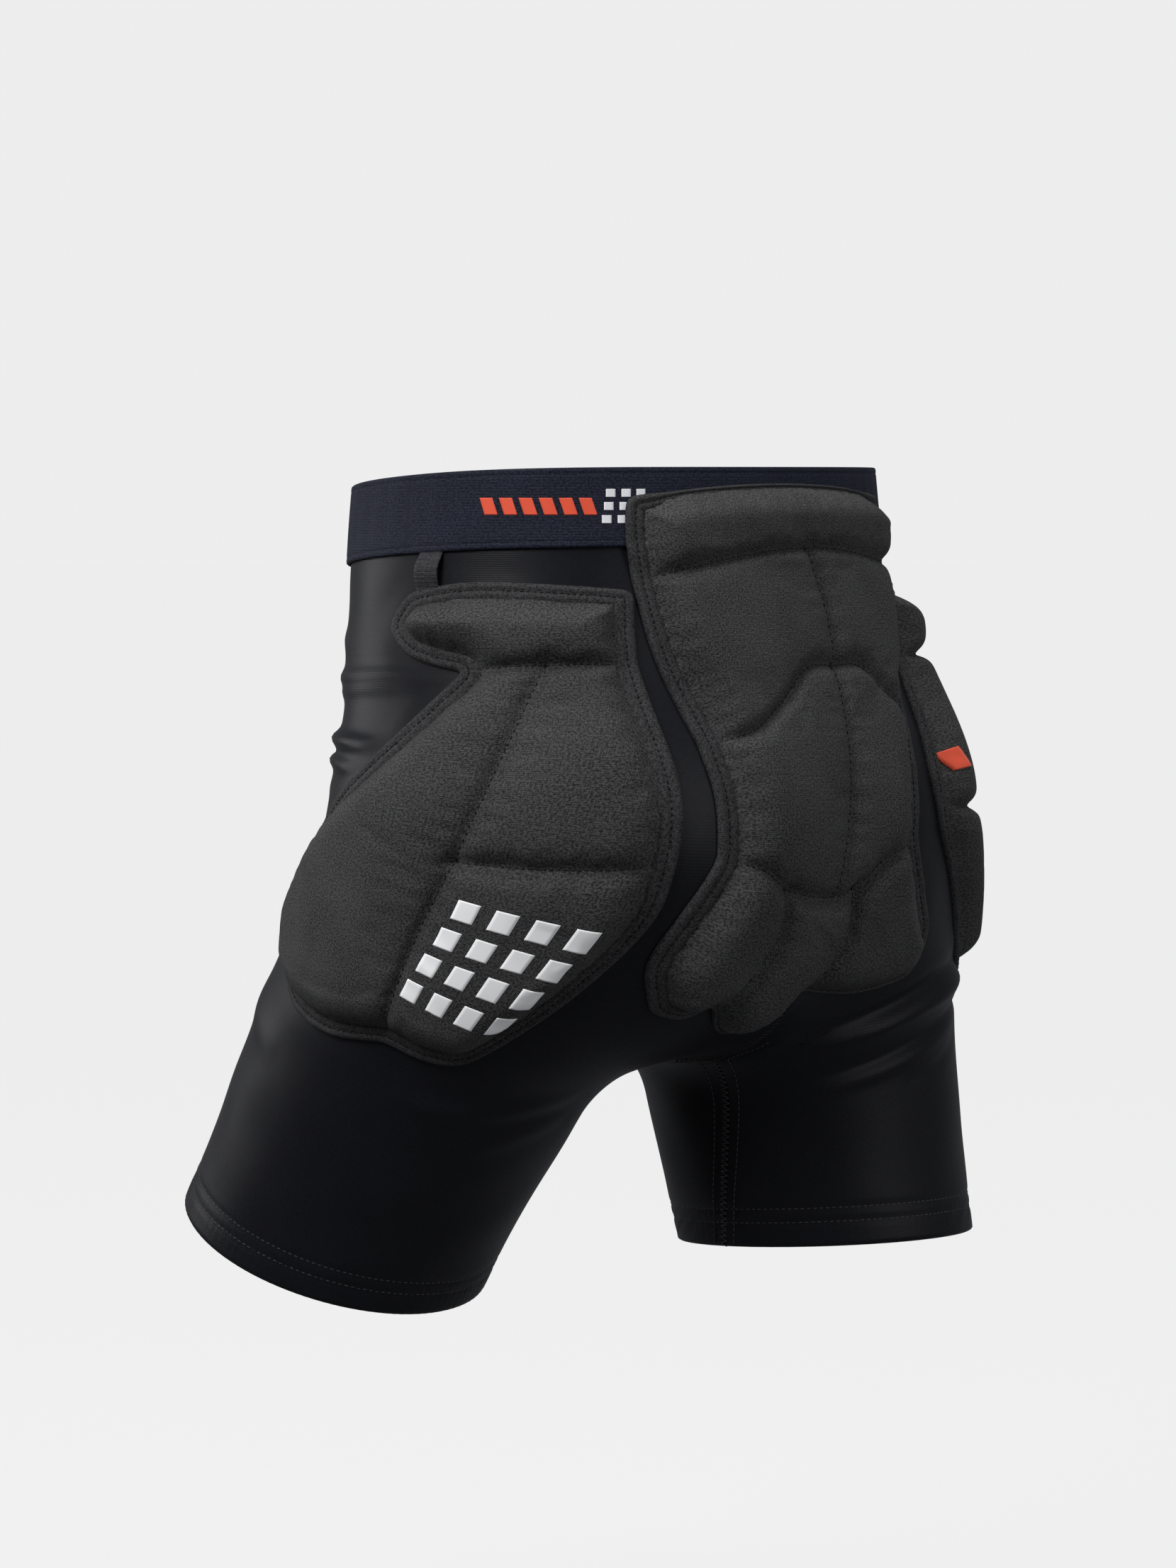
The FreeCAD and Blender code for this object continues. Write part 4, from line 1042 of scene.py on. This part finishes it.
face = pad("seat_pad", seat_place, SEAT_OUTLINE, SEAT_SEAMS, (0.40, 0.22, 0.38, 0.42, 0.45, 0.45), seat_slim)
SEAT_BLOCKS = ("top", "upper_left", "upper_right", "middle_left", "middle_right", "lobe_left", "lobe_right",
               "tail")
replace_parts(face, "seat_pad_cover", *("seat_pad_foam_" + b for b in SEAT_BLOCKS))
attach(face, "hips")
tape, rows = bound_edge("seat_pad", seat_place, SEAT_OUTLINE, seat_slim)
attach(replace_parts(tape, "seat_pad_binding"), "hips")
rows += seam_rows(seat_place, SEAT_OUTLINE, SEAT_SEAMS, surface_of(face), dotted=(1,))
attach(stitch_rows("seat_pad_stitches", rows, "binding_tape", THREAD), "hips")

band_surface = surface_of(band)
drop = float(band_top(np.array(0.5)))
dashes = [box_at(33 + k * 7.8, drop + 15, 5.2, 8.5, -2.4) for k in range(6)]
weave = slabs("left_band_dashes", dashes, hip_place(1), band_surface, 0.22, 0.5, WOVEN_RED)
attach(weave, "hips")
drop = float(band_top(np.array(0.78)))
checks = [box_at(83 + 6.6 * i - 0.8 * k, drop + 11 + 6.6 * k, 4, 4) for i in range(3) for k in range(3)]
weave = slabs("left_band_checks", checks, hip_place(1), band_surface, 0.22, 0.5, WOVEN_WHITE)
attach(weave, "hips")

# ---------------------------------------------------------------- the camera, floor and light
def aim(obj, place, target):
    obj.location = place
    obj.rotation_euler = (Vector(target) - Vector(place)).to_track_quat("-Z", "Y").to_euler()


azimuth, elevation, distance = math.radians(134), math.radians(2.8), 3.3
away = np.array((math.sin(azimuth) * math.cos(elevation), -math.cos(azimuth) * math.cos(elevation),
                 math.sin(elevation)))
target = np.array((0, 0, -0.165)) - 0.0142 * np.array((math.cos(azimuth), math.sin(azimuth), 0))
camera = bpy.data.objects.new("camera", bpy.data.cameras.new("camera"))
bpy.context.scene.collection.objects.link(camera)
camera.data.lens = 145.15
camera.data.sensor_width = 36
aim(camera, target + away * distance, target)
bpy.context.scene.camera = camera

FLOOR_HALF, FLOOR_LEVEL = 30, -0.62
floor_data = bpy.data.meshes.new("floor")
corners = [(x * FLOOR_HALF, y * FLOOR_HALF, FLOOR_LEVEL) for x, y in ((-1, -1), (1, -1), (1, 1), (-1, 1))]
floor_data.from_pydata(corners, [], [(0, 1, 2, 3)])
floor = bpy.data.objects.new("floor", floor_data)
bpy.context.scene.collection.objects.link(floor)
pale = plain("pale_floor", (0.03, 0.03, 0.03), 0.95, 0.0, 0.0)
pale.node_tree.nodes["Principled BSDF"].inputs["Emission Color"].default_value = (1, 1, 1, 1)
pale.node_tree.nodes["Principled BSDF"].inputs["Emission Strength"].default_value = 0.84
floor_data.materials.append(pale)
floor.visible_diffuse = False
floor.visible_glossy = False

right, up = np.array((math.cos(azimuth), math.sin(azimuth), 0)), np.array((0, 0, 1.0))
# name, to the camera's right, up, towards the camera, size, power
for name, side_way, height, front, size, power in (
        ("key", -1.3, 1.5, 1.5, 1.2, 62), ("rim", -1.9, 0.5, -0.7, 1.0, 12), ("fill", 1.9, 0.4, 1.2, 1.6, 16),
        ("top", 0.3, 2.2, 0.1, 1.4, 34)):
    light = bpy.data.lights.new(name, "AREA")
    light.size = size
    light.energy = power
    lamp = bpy.data.objects.new(name, light)
    bpy.context.scene.collection.objects.link(lamp)
    aim(lamp, target + right * side_way + up * height + away * front, target)

world = bpy.data.worlds.new("studio")
world.use_nodes = True
nodes, links = world.node_tree.nodes, world.node_tree.links
dim = nodes["Background"]
dim.inputs["Color"].default_value = (0.9, 0.92, 0.96, 1)
dim.inputs["Strength"].default_value = 0.20
seen = nodes.new("ShaderNodeBackground")
seen.inputs["Color"].default_value = (0.85, 0.85, 0.85, 1)
path, pick = nodes.new("ShaderNodeLightPath"), nodes.new("ShaderNodeMixShader")
links.new(path.outputs["Is Camera Ray"], pick.inputs["Fac"])
links.new(dim.outputs[0], pick.inputs[1])
links.new(seen.outputs[0], pick.inputs[2])
links.new(pick.outputs[0], nodes["World Output"].inputs["Surface"])
bpy.context.scene.world = world
bpy.context.scene.view_settings.view_transform = "Standard"
